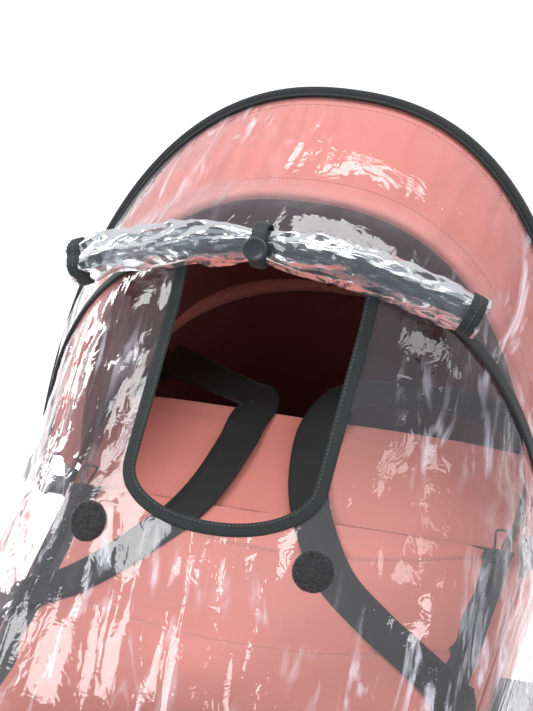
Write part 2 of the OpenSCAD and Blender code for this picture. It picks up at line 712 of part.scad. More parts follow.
module front_crossbar() {
    y = hub_y + front_bar_at * cos(front_tilt);
    z = hub_height + front_bar_at * sin(front_tilt);
    x = frame_x - tube_r - 3;
    color(metal) at_ground() union() {
        translate([-x, y, z]) rotate([0, 90, 0]) cylinder(r = bar_r, h = 2 * x);
        both_sides() difference() {
            translate([frame_x, y, z]) rotate([front_tilt, 0, 0]) translate([0, -14, 0]) rotate([-90, 0, 0])
                cylinder(r = tube_r + 4, h = 28);
            translate([frame_x, y, z]) rotate([front_tilt, 0, 0]) translate([0, -15, 0]) rotate([-90, 0, 0])
                cylinder(r = tube_r + fit, h = 30);
        }
    }
}

module caster_housings() {
    color(dark) at_ground() both_sides() translate([frame_x, stem_y, housing_z]) difference() {
        cylinder(r = housing_r, h = housing_h);
        translate([0, 0, -1]) cylinder(r = stem_r + fit, h = housing_h - 5);
    }
}

fork_in = front_tyre_w / 2 + 3;
fork_t = 5;

module caster_fork(s) {
    wide = 2 * (fork_in + fork_t);
    color(dark) at_ground() side(s) translate([frame_x, 0, 0]) difference() {
        union() {
            translate([0, stem_y, crown_z]) cylinder(r = stem_r, h = crown_t + housing_h - 6);
            translate([0, stem_y, crown_z + crown_t]) cylinder(r = stem_r + 5, h = 2 - gap);
            translate([0, stem_y, crown_z]) cylinder(r = wide / 2, h = crown_t);
            translate([-wide / 2, front_axle_y - 14, crown_z]) cube([wide, trail + 14, crown_t]);
            for (x = [-wide / 2, fork_in]) translate([x, front_axle_y, front_wheel_r]) union() {
                along_x(0, fork_t, 14);
                translate([0, -14, 0]) cube([fork_t, 28, crown_z - front_wheel_r + 1]);
            }
            translate([0, front_axle_y, front_wheel_r]) along_x(-fork_in - 1, fork_in + 1, axle_r);
            for (x = [-wide / 2 - 3, fork_in + fork_t]) translate([x, front_axle_y, front_wheel_r]) along_x(0, 3, 9);
        }
    }
}

// tyre outline: flat against the rim, rounded at the tread
function tyre_outline(r, w, depth) =
    concat([[r - depth, -w / 2 + 3]],
        [for (i = [0 : 10]) let (g = -80 + 16 * i) [r - 12 + 12 * cos(g), (w / 2) * sin(g) / sin(80)]],
        [[r - depth, w / 2 - 3]]);

module tyre(r, w, depth) {
    rotate([0, 90, 0]) rotate_extrude($fn = 72) polygon(tyre_outline(r, w, depth));
}

module rim(r, w, depth) {
    hub_w = w - 2;
    ring = r - depth - gap / 3;
    hole_at = (12 + ring) / 2;
    rotate([0, 90, 0]) difference() {
        union() {
            cylinder(r = 17, h = hub_w, center = true);
            cylinder(r = ring - 1, h = 8, center = true);
            difference() {
                cylinder(r = ring, h = w - 8, center = true, $fn = 72);
                cylinder(r = ring - 5, h = w, center = true, $fn = 72);
            }
        }
        cylinder(r = axle_r + fit, h = w + 4, center = true);
        for (i = [0 : 5]) rotate([0, 0, 60 * i]) translate([hole_at, 0, 0])
            cylinder(r = min(hole_at - 20, hole_at / 2 - 4), h = 12, center = true);
    }
}

tyre_depth = 19;

module front_wheel_at(s) {
    at_ground() side(s) translate([frame_x, front_axle_y, front_wheel_r]) children();
}

module rear_wheel_at(s) {
    at_ground() side(s) translate([rear_wheel_x, rear_axle_y, rear_wheel_r]) children();
}

module front_tyre(s) {
    color(dark) front_wheel_at(s) tyre(front_wheel_r, front_tyre_w, tyre_depth);
}

module front_rim(s) {
    color(metal) front_wheel_at(s) rim(front_wheel_r, front_tyre_w, tyre_depth);
}

module rear_tyre(s) {
    color(dark) rear_wheel_at(s) tyre(rear_wheel_r, rear_tyre_w, tyre_depth);
}

module rear_rim(s) {
    color(metal) rear_wheel_at(s) rim(rear_wheel_r, rear_tyre_w, tyre_depth);
}

axle_block_r = tube_r + 4;
rear_tube_x = frame_x - tube_r - 2;

module rear_leg(s) {
    color(metal) at_ground() side(s) union() {
        frame_tube(rear_tilt, tube_start, rear_leg_len - axle_block_r - 0.2);
        lug(frame_x + lug_gap + 0.5, rear_tilt, hub_y, hub_height, lug_r, tube_start + 14, hub_pin_r + fit);
    }
}

module rear_axle_tube() {
    color(metal) at_ground() translate([0, rear_axle_y, rear_wheel_r]) difference() {
        union() {
            along_x(-rear_tube_x, rear_tube_x, tube_r);
            both_sides() along_x(rear_tube_x - 4, frame_x + tube_r, axle_block_r);
        }
        along_x(-rear_wheel_x, rear_wheel_x, axle_r + fit);
    }
}

module rear_axle() {
    end = rear_wheel_x + rear_tyre_w / 2 + 1;
    color(metal) at_ground() translate([0, rear_axle_y, rear_wheel_r]) union() {
        along_x(-end, end, axle_r);
        both_sides() along_x(end - 1.5, end + 2, axle_r + 5);
    }
}

module brake_pedal() {
    wide = 60;
    color(dark) at_ground() translate([0, rear_axle_y, rear_wheel_r]) difference() {
        union() {
            along_x(-wide / 2, wide / 2, tube_r + 5);
            translate([-wide / 2, -52, 8]) cube([wide, 50, 6]);
        }
        along_x(-wide, wide, tube_r + fit);
    }
}

knuckle_r = 19;
knuckle_tube = knuckle_r + 5;
knuckle_pin_r = 5;

module handle_lower(s) {
    color(metal) at_ground() side(s) union() {
        frame_tube(handle_tilt, tube_start, handle_lower_len - knuckle_tube);
        lug(frame_x - lug_gap - lug_t - 0.5, handle_tilt, hub_y, hub_height, lug_r, tube_start + 14, hub_pin_r + fit);
        translate([frame_x - 0.5 - lug_t, hub_y, hub_height]) rotate([handle_tilt, 0, 0])
            translate([0, handle_lower_len, 0]) union() {
                along_x(0, lug_t, knuckle_r);
                translate([0, -knuckle_tube - 14, -tube_r + 3]) cube([lug_t, knuckle_tube + 14, 2 * tube_r - 6]);
                along_x(0, 2 * lug_t + 3, knuckle_pin_r);
            }
    }
}

module at_knuckle() {
    at_ground() translate([0, hub_y, hub_height]) rotate([handle_tilt, 0, 0])
        translate([0, handle_lower_len, 0]) children();
}

module handle_knuckles() {
    end = frame_x + lug_t + 1.5;
    color(dark) at_knuckle() both_sides() difference() {
        along_x(end, end + 5, knuckle_r - 2);
        along_x(end - 1, end + 1, knuckle_pin_r);
    }
}

handle_bend = 50;

module handle_upper() {
    x = frame_x - handle_bend;
    end = handle_upper_len;
    color(metal) at_knuckle() union() {
        for (s = [-1, 1]) translate([s * frame_x, knuckle_tube, 0]) rotate([-90, 0, 0])
            cylinder(r = tube_r, h = end - handle_bend - knuckle_tube);
        corner_bend(x, end - handle_bend, 0, 0, handle_bend, tube_r);
        corner_bend(-x, end - handle_bend, 0, 90, handle_bend, tube_r);
        translate([-x, end, 0]) rotate([0, 90, 0]) cylinder(r = tube_r, h = 2 * x);
        both_sides() translate([frame_x + 0.5, 0, 0]) difference() {
            union() {
                along_x(0, lug_t, knuckle_r);
                translate([0, 0, -tube_r + 3]) cube([lug_t, knuckle_tube + 14, 2 * tube_r - 6]);
            }
            along_x(-1, lug_t + 1, knuckle_pin_r + fit);
        }
    }
}

module handle_grip() {
    x = frame_x - handle_bend - 12;
    color(black) at_knuckle() translate([0, handle_upper_len, 0]) difference() {
        along_x(-x, x, grip_r);
        along_x(-x - 1, x + 1, tube_r + 0.1);
    }
}

basket_top = hub_height - hub_r - 128;     // clear of the carrycot's feet
basket_hw = half_w;
basket_y0 = hub_y - 240;
basket_y1 = hub_y + front_bar_at * cos(front_tilt) - bar_r - 8;

module basket() {
    t = 3;
    len = basket_y1 - basket_y0;
    color(dark) at_ground() translate([-basket_hw, basket_y0, basket_top - basket_depth]) difference() {
        cube([2 * basket_hw, len, basket_depth]);
        translate([t, t, t]) cube([2 * basket_hw - 2 * t, len - 2 * t, basket_depth]);
    }
}

module basket_rim() {
    r = 4;
    color(metal) at_ground() translate([0, 0, basket_top + r]) union() {
        for (s = [-1, 1]) translate([s * (basket_hw - r), basket_y0 + r, 0]) rotate([-90, 0, 0])
            cylinder(r = r, h = basket_y1 - basket_y0 - 2 * r);
        for (y = [basket_y0 + r, basket_y1 - r]) translate([-basket_hw + r, y, 0]) rotate([0, 90, 0])
            cylinder(r = r, h = 2 * (basket_hw - r));
        for (sx = [-1, 1]) for (y = [basket_y0 + r, basket_y1 - r]) translate([sx * (basket_hw - r), y, 0])
            sphere(r = r);
    }
}

module basket_straps() {
    t = 2;
    low = basket_top + 8;
    high = hub_height - hub_r + 1;
    bar_z = hub_height + front_bar_at * sin(front_tilt);
    color(black) at_ground() both_sides() union() {
        translate([basket_hw - 5, hub_y - 15, low]) cube([t, 30, high - low]);
    }
    color(black) at_ground() both_sides() translate([120, basket_y1, bar_z - 10]) cube([30, 8, 20]);
}

cot_shell();
cot_rim();
cot_tray();
cot_feet();
mattress();
apron();
apron_flap();
zip_tapes();
zip_slider(-1);  // zip_slider_left
zip_slider(1);  // zip_slider_right
carry_handle(left_points, left_across);  // carry_handle_left
carry_handle(right_points, right_across);  // carry_handle_right
cot_receivers();
hood_hinges();
hood_rim_bow();
hood_lip_bow();
hood_rear_fabric();
hood_front_fabric();
rain_hood_film();
rain_front_film();
rain_skirt();
rain_rim_binding();
rain_arch_binding();
window_binding();
rain_hem_binding();
window_roll();
roll_loop();
roll_button();
fastener_dots();
hub(-1);  // hub_left
hub(1);  // hub_right
hub_pins();
hub_crossbar();
front_leg(-1);  // front_leg_left
front_leg(1);  // front_leg_right
front_crossbar();
caster_housings();
caster_fork(-1);  // caster_fork_left
caster_fork(1);  // caster_fork_right
front_tyre(-1);  // front_tyre_left
front_tyre(1);  // front_tyre_right
front_rim(-1);  // front_rim_left
front_rim(1);  // front_rim_right
rear_leg(-1);  // rear_leg_left
rear_leg(1);  // rear_leg_right
rear_axle_tube();
rear_axle();
rear_tyre(-1);  // rear_tyre_left
rear_tyre(1);  // rear_tyre_right
rear_rim(-1);  // rear_rim_left
rear_rim(1);  // rear_rim_right
brake_pedal();
handle_lower(-1);  // handle_lower_left
handle_lower(1);  // handle_lower_right
handle_knuckles();
handle_upper();
handle_grip();
basket();
basket_rim();
basket_straps();
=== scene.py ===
import json
import math

import bpy
import numpy as np
from bpy.props import FloatProperty, FloatVectorProperty, IntProperty, PointerProperty
from mathutils import Matrix, Vector


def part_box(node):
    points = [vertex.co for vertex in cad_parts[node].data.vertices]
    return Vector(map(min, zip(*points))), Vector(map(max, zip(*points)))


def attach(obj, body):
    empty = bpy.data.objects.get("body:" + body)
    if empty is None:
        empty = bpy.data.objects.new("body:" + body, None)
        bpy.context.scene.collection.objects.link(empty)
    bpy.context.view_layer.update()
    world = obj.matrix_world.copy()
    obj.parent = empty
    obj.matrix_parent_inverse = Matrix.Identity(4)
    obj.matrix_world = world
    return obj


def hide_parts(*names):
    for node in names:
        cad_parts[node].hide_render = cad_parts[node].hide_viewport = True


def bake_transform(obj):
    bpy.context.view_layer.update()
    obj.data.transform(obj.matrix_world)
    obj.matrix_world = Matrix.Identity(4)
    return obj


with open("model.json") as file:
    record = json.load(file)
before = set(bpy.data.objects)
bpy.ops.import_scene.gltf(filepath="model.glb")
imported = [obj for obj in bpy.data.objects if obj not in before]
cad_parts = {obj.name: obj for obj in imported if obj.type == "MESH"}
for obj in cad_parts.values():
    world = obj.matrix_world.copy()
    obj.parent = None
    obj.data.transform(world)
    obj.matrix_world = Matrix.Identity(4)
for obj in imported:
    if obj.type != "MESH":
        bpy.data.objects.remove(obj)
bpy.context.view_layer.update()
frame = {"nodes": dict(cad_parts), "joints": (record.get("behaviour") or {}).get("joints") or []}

bl_info = {
    "name": "Pram with carrycot and rain cover",
    "version": (1, 0, 0),
    "blender": (4, 5, 0),
    "location": "View3D > Sidebar > Pram",
    "description": "Fabric, film, webbing and finishes for a pram, fitted round its frame",
    "category": "Object",
}

MM = 0.001
JOINTS = {j["name"]: j for j in frame["joints"]}
HINGE = np.array(JOINTS["hood_fold"]["pos_m"], float)
HINGE_Y, HINGE_Z = 15.0, -12.0          # the hood's hinge in carrycot millimetres
ORIGIN = HINGE - np.array([0.0, HINGE_Y, HINGE_Z]) * MM
RIM_LOW, RIM_HIGH = (np.array(c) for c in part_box("cot_rim"))
HALF_W = RIM_HIGH[0] / MM
FOOT_Y = (RIM_LOW[1] - ORIGIN[1]) / MM
HEAD_Y = (RIM_HIGH[1] - ORIGIN[1]) / MM
COT_DEPTH = (ORIGIN[2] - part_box("cot_shell")[0][2]) / MM
UP = np.array([0.0, 0.0, 1.0])


# ---------------------------------------------------------------- sizes and colours

def length(name, text, value, low=0.1, high=2000.0):
    """A size in millimetres."""
    return FloatProperty(name=name, description=text, default=value, min=low, max=high)


def colour(name, text, value):
    """A linear colour."""
    return FloatVectorProperty(name=name, description=text, default=value, size=3, subtype="COLOR", min=0,
                               max=1)


class PramSizes(bpy.types.PropertyGroup):
    """Sizes that a maker would change, in millimetres."""
    rim_reach: length("Rim reach", "Reach of the rim bow from the hinge", 363.0)
    rim_tilt: length("Rim tilt", "Tilt of the rim bow in degrees", 53.0)
    lip_reach: length("Lip reach", "Reach of the lip bow from the hinge", 297.0)
    lip_tilt: length("Lip tilt", "Tilt of the lip bow in degrees", 72.0)
    arch_reach: length("Arch reach", "Reach of the rain cover's arch", 292.0)
    arch_tilt: length("Arch tilt", "Tilt of the rain cover's arch in degrees", 90.0)
    window_half: length("Window", "Half width of the access window", 80.0)
    binding: length("Binding", "Width of the bound edges", 14.0)
    webbing: length("Webbing", "Width of the carry handles", 34.0)
    zip_width: length("Zip", "Width of a zip's tapes", 26.0)
    roll: length("Roll", "Radius of the rolled flap", 20.0)
    button: length("Button", "Radius of the loop's button", 10.0)
    dot: length("Dot", "Radius of a fastener dot", 17.0)
    stitch: length("Stitch", "Pitch of the topstitching", 3.4)
    wrinkle: length("Wrinkle", "Depth of the film's wrinkles", 2.2)
    seed: IntProperty(name="Seed", description="Seed of the film's wrinkles", default=7, min=0)


class PramColours(bpy.types.PropertyGroup):
    """Colours of the pram's materials."""
    fabric: colour("Fabric", "Outer fabric of the carrycot and hood", (0.60, 0.205, 0.168))
    # Lining: a deeper red than the outer cloth, darkened further as painted shade for the shaded inside of the
    # hood and carrycot.
    lining: colour("Lining", "Lining of the hood and carrycot", (0.20, 0.042, 0.038))
    binding: colour("Binding", "Bound edges of the rain cover", (0.012, 0.014, 0.015))
    window_tape: colour("Window tape", "Binding of the window", (0.010, 0.014, 0.014))
    webbing: colour("Webbing", "Carry handles", (0.013, 0.014, 0.015))
    zip_tape: colour("Zip tape", "Zip tapes", (0.055, 0.062, 0.068))
    # Film colour: the pale lavender of the film's painted reflections and painted sheen, also used for its
    # faint haze.
    film: colour("Film", "Clear film's sheen", (0.78, 0.78, 0.88))
    knit: colour("Knit", "Mattress cover", (0.84, 0.82, 0.79))
    tube: colour("Tube", "Anodised frame tubes", (0.36, 0.37, 0.39))
    plastic: colour("Plastic", "Moulded parts", (0.018, 0.019, 0.021))
    tyre: colour("Tyre", "Tyres", (0.016, 0.016, 0.017))
    wheel: colour("Wheel", "Wheel rims", (0.22, 0.225, 0.235))
    basket: colour("Basket", "Basket fabric", (0.022, 0.024, 0.028))
    floor: colour("Floor", "Studio floor", (0.93, 0.93, 0.93))


def sizes():
    """The sizes in use."""
    return bpy.context.scene.pram_sizes


def colours():
    """The colours in use."""
    return bpy.context.scene.pram_colours


# ---------------------------------------------------------------- numbers

def place(p):
    """Carrycot millimetres become metres in the frame."""
    return np.asarray(p, float) * MM + ORIGIN


def unit(v):
    """v over its length, row by row."""
    return v / np.maximum(np.linalg.norm(v, axis=-1, keepdims=True), 1e-9)


def curve_through(x, xs, ys):
    """A smooth curve through the table (xs, ys): cubic pieces whose slopes are the harmonic mean of their
    neighbours' slopes, and level where those change sign, so that the curve never overshoots the table."""
    xs, ys = np.asarray(xs, float), np.asarray(ys, float)
    h, d = np.diff(xs), np.diff(ys) / np.diff(xs)
    m = np.concatenate([[d[0]], np.where(d[:-1] * d[1:] > 0, 2 * d[:-1] * d[1:] / (d[:-1] + d[1:] + 1e-12),
                                         0), [d[-1]]])
    i = np.clip(np.searchsorted(xs, x, side="right") - 1, 0, len(xs) - 2)
    t = (x - xs[i]) / h[i]
    a = (1 + 2 * t) * (1 - t) ** 2 * ys[i] + t * (1 - t) ** 2 * h[i] * m[i]
    return a + t * t * (3 - 2 * t) * ys[i + 1] + t * t * (t - 1) * h[i] * m[i + 1]


def spline(points, count):
    """Points evenly spread along the smooth curve through the given ones (Catmull-Rom pieces)."""
    p = np.asarray(points, float)
    p = np.vstack([2 * p[0] - p[1], p, 2 * p[-1] - p[-2]])
    s = np.linspace(0, len(p) - 3 - 1e-9, 24 * len(p))
    i, t = s.astype(int), (s % 1)[:, None]
    a, b, c, d = p[i], p[i + 1], p[i + 2], p[i + 3]
    q = 0.5 * (2 * b + (c - a) * t + (2 * a - 5 * b + 4 * c - d) * t ** 2 + (3 * b - a - 3 * c + d) * t ** 3)
    return even(q, count)


def even(path, count):
    """The same path, with count points evenly spaced along it."""
    run = np.concatenate([[0], np.cumsum(np.linalg.norm(np.diff(path, axis=0), axis=1))])
    at = np.linspace(0, run[-1], count)
    return np.stack([np.interp(at, run, path[:, k]) for k in range(path.shape[1])], -1)


def noise(u, v, seed):
    """Smooth noise from -1 to 1: random values on a square lattice, blended with an S curve."""
    grid = np.random.RandomState(seed).rand(61, 61) * 2 - 1
    i, j = np.floor(u).astype(int), np.floor(v).astype(int)
    f, g = u - i, v - j
    f, g = f * f * (3 - 2 * f), g * g * (3 - 2 * g)
    a, b = grid[i % 61, j % 61], grid[(i + 1) % 61, j % 61]
    c, d = grid[i % 61, (j + 1) % 61], grid[(i + 1) % 61, (j + 1) % 61]
    return (a * (1 - f) + b * f) * (1 - g) + (c * (1 - f) + d * f) * g


def creases(u, v, seed):
    """Sharp-backed folds from 0 to 1: one less the size of two layers of noise."""
    return 1 - np.abs(0.65 * noise(u, v, seed) + 0.35 * noise(2.3 * u + 5, 2.1 * v + 9, seed + 1)) * 1.7


def bump(x, centre, width):
    """A round hump of height 1 at centre."""
    return np.exp(-((x - centre) / width) ** 2)


def fade(x, start, end):
    """0 before start, 1 after end, with an S curve between."""
    t = np.clip((x - start) / (end - start), 0, 1)
    return t * t * (3 - 2 * t)


# ---------------------------------------------------------------- meshes

def lay_sheet(piece):
    """Reads a sheet's face areas and UVs; nothing is done with them."""
    mesh = piece.data
    area, uv = np.empty(len(mesh.polygons)), np.empty(len(mesh.loops) * 2)
    mesh.polygons.foreach_get("area", area)
    mesh.uv_layers[0].data.foreach_get("uv", uv)


def finish_mesh(name, verts, faces, uvs, material, thick=0.0, side=-1.0, levels=0, flat=False):
    """Mesh from vertices in metres, faces and one UV for each face corner."""
    used, index = np.unique(np.concatenate([np.ravel(f) for f in faces]), return_inverse=True)
    counts = [len(f) for f in faces]
    parts = np.split(index, np.cumsum(counts)[:-1])
    mesh = bpy.data.meshes.new(name)
    mesh.from_pydata(verts[used].tolist(), [], [p.tolist() for p in parts])
    layer = mesh.uv_layers.new(name="UVMap")
    layer.data.foreach_set("uv", np.asarray(uvs, np.float32).ravel())
    mesh.polygons.foreach_set("use_smooth", [not flat] * len(mesh.polygons))
    mesh.update()
    obj = bpy.data.objects.new(name, mesh)
    bpy.context.collection.objects.link(obj)
    mesh.materials.append(material)
    if thick:
        m = obj.modifiers.new("Thickness", "SOLIDIFY")
        m.thickness, m.offset = thick * MM, side
    if levels:
        m = obj.modifiers.new("Smooth", "SUBSURF")
        m.levels = m.render_levels = levels
    return obj


def surface(name, p, material, wrap=False, keep=None, caps=False, **how):
    """Mesh over a grid of points (rows, columns, 3) in carrycot millimetres. wrap joins the last column to
    the first, keep says which cells stay, and caps closes the first and last rows. UVs are lengths in
    metres."""
    rows, cols = p.shape[:2]
    q = np.concatenate([p, p[:, :1]], 1) if wrap else p
    u = np.concatenate([np.zeros((rows, 1)), np.cumsum(np.linalg.norm(np.diff(q, axis=1), axis=2), 1)],
                       1) * MM
    v = np.concatenate([np.zeros((1, q.shape[1])), np.cumsum(np.linalg.norm(np.diff(q, axis=0), axis=2),
                                                             0)]) * MM
    u = u - u[:, -1:] / 2
    r, c = np.meshgrid(np.arange(rows - 1), np.arange(q.shape[1] - 1), indexing="ij")
    if keep is not None:
        r, c = r[keep], c[keep]
    r, c = r.ravel(), c.ravel()
    rr, cc = np.stack([r, r + 1, r + 1, r], 1), np.stack([c, c, c + 1, c + 1], 1)
    faces = list(rr * cols + cc % cols)
    uvs = np.stack([u[rr, cc], v[rr, cc]], -1).reshape(-1, 2)
    if caps:
        faces += [np.arange(cols), (rows - 1) * cols + np.arange(cols)[::-1]]
        uvs = np.concatenate([uvs, np.zeros((2 * cols, 2))])
    return finish_mesh(name, place(p).reshape(-1, 3), faces, uvs, material, **how)


def directions(path):
    """Unit direction at each point of a path."""
    return unit(np.gradient(path, axis=0))


def sweep(name, path, across, section, material, size=None, **how):
    """A closed profile carried along a path. section holds points (along across, along the normal), turning
    left about the path's direction, in millimetres, and size scales it at each point of the path."""
    d = directions(path)
    a = unit(across - d * np.sum(across * d, -1, keepdims=True))
    n = np.cross(d, a)
    s = np.ones(len(path)) if size is None else size
    ring = (path[:, None] + a[:, None] * section[None, :, :1] * s[:, None, None]
            + n[:, None] * section[None, :, 1:] * s[:, None, None])
    return surface(name, ring[:, ::-1], material, wrap=True, caps=True, **how)


def tape(width, thick, count=20, power=7.0):
    """Section of a flat tape: the curve |x/w|^p + |y/t|^p = 1, so its edges are rounded."""
    g = np.linspace(0, 2 * np.pi, count, endpoint=False) + np.pi / count
    c, s = np.cos(g), np.sin(g)
    r = (np.abs(c) ** power + np.abs(s) ** power) ** (-1 / power)
    return np.stack([c * r * width / 2, s * r * thick / 2], -1)


def ring(radius, count=16):
    """Section of a round cord or tube."""
    g = np.linspace(0, 2 * np.pi, count, endpoint=False)
    return np.stack([radius * np.cos(g), radius * np.sin(g)], -1)


GRAIN_V = np.array([[1, 0, 0], [-1, 0, 0], [0, 1, 0], [0, -1, 0], [0, 0, 1], [0, 0, -1]], float)
GRAIN_F = np.array([[0, 2, 4], [2, 1, 4], [1, 3, 4], [3, 0, 4], [2, 0, 5], [1, 2, 5], [3, 1, 5], [0, 3, 5]])
BLOCK_V = np.array([[x, y, z] for x in (-1, 1) for y in (-1, 1) for z in (-1, 1)], float)
BLOCK_F = np.array([[0, 1, 3, 2], [4, 6, 7, 5], [0, 4, 5, 1], [2, 3, 7, 6], [0, 2, 6, 4], [1, 5, 7, 3]])


def copies(name, at, x, y, z, size, verts, faces, material, flat=False):
    """One small shape repeated: a copy stands at each point, turned to the unit vectors x, y, z and scaled by
    size."""
    v = verts * np.asarray(size)
    p = at[:, None] + v[None, :, :1] * x[:, None] + v[None, :, 1:2] * y[:, None] + v[None, :, 2:] * z[:, None]
    k = (np.arange(len(at)) * len(verts))[:, None, None] + faces[None]
    faces_all = list(k.reshape(-1, faces.shape[1]))
    uvs = np.zeros((len(faces_all) * faces.shape[1], 2))
    return finish_mesh(name, place(p).reshape(-1, 3), faces_all, uvs, material, flat=flat)


def stitch_row(name, path, normal, material, pitch=None, lift=0.25):
    """Topstitching: a thread grain lies along the path at every pitch, just proud of the cloth."""
    pitch = pitch or sizes().stitch
    run = np.sum(np.linalg.norm(np.diff(path, axis=0), axis=1))
    count = max(4, int(run / pitch))
    both = even(np.concatenate([path, unit(normal)], 1), count) if path.shape == normal.shape else None
    p, n = both[:, :3], unit(both[:, 3:])
    d = directions(p)
    n = unit(n - d * np.sum(n * d, -1, keepdims=True))
    return copies(name, p + n * lift, d, np.cross(n, d), n, (pitch * 0.38, 0.42, 0.42), GRAIN_V, GRAIN_F,
                  material)


# ---------------------------------------------------------------- materials

class Nodes:
    """A small helper that adds shader nodes and joins them."""

    def __init__(self, name):
        """An empty material with its output node."""
        self.material = bpy.data.materials.new(name)
        self.material.use_nodes = True
        self.tree = self.material.node_tree
        self.tree.nodes.clear()
        self.out = self.add("OutputMaterial")

    def add(self, kind, values=None, **props):
        """A node of that kind. values sets its inputs or joins them to sockets, and props sets its
        properties."""
        node = self.tree.nodes.new("ShaderNode" + kind)
        for key, value in props.items():
            setattr(node, key, value)
        for key, value in (values or {}).items():
            if isinstance(value, bpy.types.NodeSocket):
                self.tree.links.new(value, node.inputs[key])
            else:
                node.inputs[key].default_value = value
        return node

    def maths(self, operation, a, b=0.5):
        """The result of one operation on a and b."""
        return self.add("Math", {0: a, 1: b}, operation=operation).outputs[0]

    def ramp(self, value, low, high):
        """value from low to high becomes 0 to 1."""
        return self.add("MapRange", {0: value, 1: low, 2: high}).outputs[0]

    def mix(self, factor, a, b):
        """The colour a (1 - factor) + b factor."""
        node = self.add("Mix", {0: factor}, data_type="RGBA")
        for key, value in ((6, a), (7, b)):
            if isinstance(value, bpy.types.NodeSocket):
                self.tree.links.new(value, node.inputs[key])
            else:
                node.inputs[key].default_value = value
        return node.outputs[2]

    def bump(self, height, distance, strength=1.0, normal=None):
        """The normal over a height that is distance millimetres deep."""
        values = {"Height": height, "Distance": distance * MM, "Strength": strength}
        if normal is not None:
            values["Normal"] = normal
        return self.add("Bump", values).outputs[0]

    def surface(self, **values):
        """A plain surface shader, joined to the output."""
        shader = self.add("BsdfPrincipled", {k.replace("_", " "): v for k, v in values.items()})
        self.tree.links.new(shader.outputs[0], self.out.inputs[0])
        return shader

    def coords(self, kind, scale=(1, 1, 1), turn=0.0):
        """Coordinates of that kind, turned by turn radians and scaled."""
        source = self.add("TexCoord").outputs[kind]
        return self.add("Mapping", {0: source, "Scale": scale, "Rotation": (0, 0, turn)}).outputs[0]


def rgba(c, gain=1.0):
    """A colour with its alpha, each channel times gain and held to 1."""
    return (*(min(1.0, x * gain) for x in c), 1.0)


def cloth(name, base, thread=0.55, sheen=0.35, rough=0.86, mottle=0.10, depth=0.12):
    """Plain-woven cloth: two crossing sets of threads on the piece's UVs, with a faint heather and soft
    creases."""
    m = Nodes(name)
    pitch = 0.5 / (thread * MM)
    uv = m.coords("UV")
    warp = m.add("TexWave", {"Vector": uv, "Scale": pitch / 3.14159, "Distortion": 0.6, "Detail": 1.0},
                 bands_direction="X").outputs[1]
    weft = m.add("TexWave", {"Vector": uv, "Scale": pitch / 3.14159, "Distortion": 0.6, "Detail": 1.0},
                 bands_direction="Y").outputs[1]
    heather = m.add("TexNoise", {"Vector": uv, "Scale": 900.0, "Detail": 3.0}).outputs[0]
    cloud = m.add("TexNoise", {"Vector": m.coords("Object"), "Scale": 9.0, "Detail": 3.0}).outputs[0]
    weave = m.maths("MAXIMUM", warp, weft)
    tint = m.mix(m.ramp(heather, 0.3, 0.7), rgba(base, 1 - mottle), rgba(base, 1 + mottle))
    tint = m.mix(m.maths("MULTIPLY", m.ramp(cloud, 0.35, 0.7), 0.25), tint, rgba(base, 1.12))
    normal = m.bump(m.maths("ADD", weave, heather), depth, 0.6)
    soft = m.add("TexNoise", {"Vector": m.coords("Object"), "Scale": 28.0, "Detail": 2.0}).outputs[0]
    normal = m.bump(soft, 1.6, 0.35, normal)
    m.surface(Base_Color=tint, Roughness=rough, Sheen_Weight=sheen, Sheen_Roughness=0.5, Normal=normal,
              Specular_IOR_Level=0.25)
    return m.material


def webbing_material(name, base, rib=1.7, turn=0.6, shine=0.35, rough=0.55):
    """Woven tape: fine slanted ribs on the piece's UVs, crossed by a finer thread."""
    m = Nodes(name)
    slant = m.coords("UV", turn=turn)
    ribs = m.add("TexWave", {"Vector": slant, "Scale": 0.5 / (rib * MM) / 1.6, "Distortion": 0.5,
                             "Detail": 1.0,
                             "Detail Scale": 3.0}, bands_direction="Y").outputs[1]
    back = m.coords("UV", turn=-turn)
    cross = m.add("TexWave", {"Vector": back, "Scale": 0.5 / (rib * 0.62 * MM) / 1.6, "Distortion": 0.4},
                  bands_direction="Y").outputs[1]
    dust = m.add("TexNoise", {"Vector": m.coords("Object"), "Scale": 260.0, "Detail": 3.0}).outputs[0]
    height = m.maths("ADD", m.maths("MULTIPLY", ribs, 0.7), m.maths("MULTIPLY", cross, 0.3))
    tint = m.mix(height, rgba(base, 0.5), rgba(base, 1.4))
    tint = m.mix(m.maths("MULTIPLY", m.ramp(dust, 0.6, 0.8), 0.2), tint, rgba(base, 3.0))
    m.surface(Base_Color=tint, Roughness=rough, Sheen_Weight=0.08, Sheen_Roughness=0.4,
              Specular_IOR_Level=shine, Normal=m.bump(height, 0.35, 0.7))
    return m.material


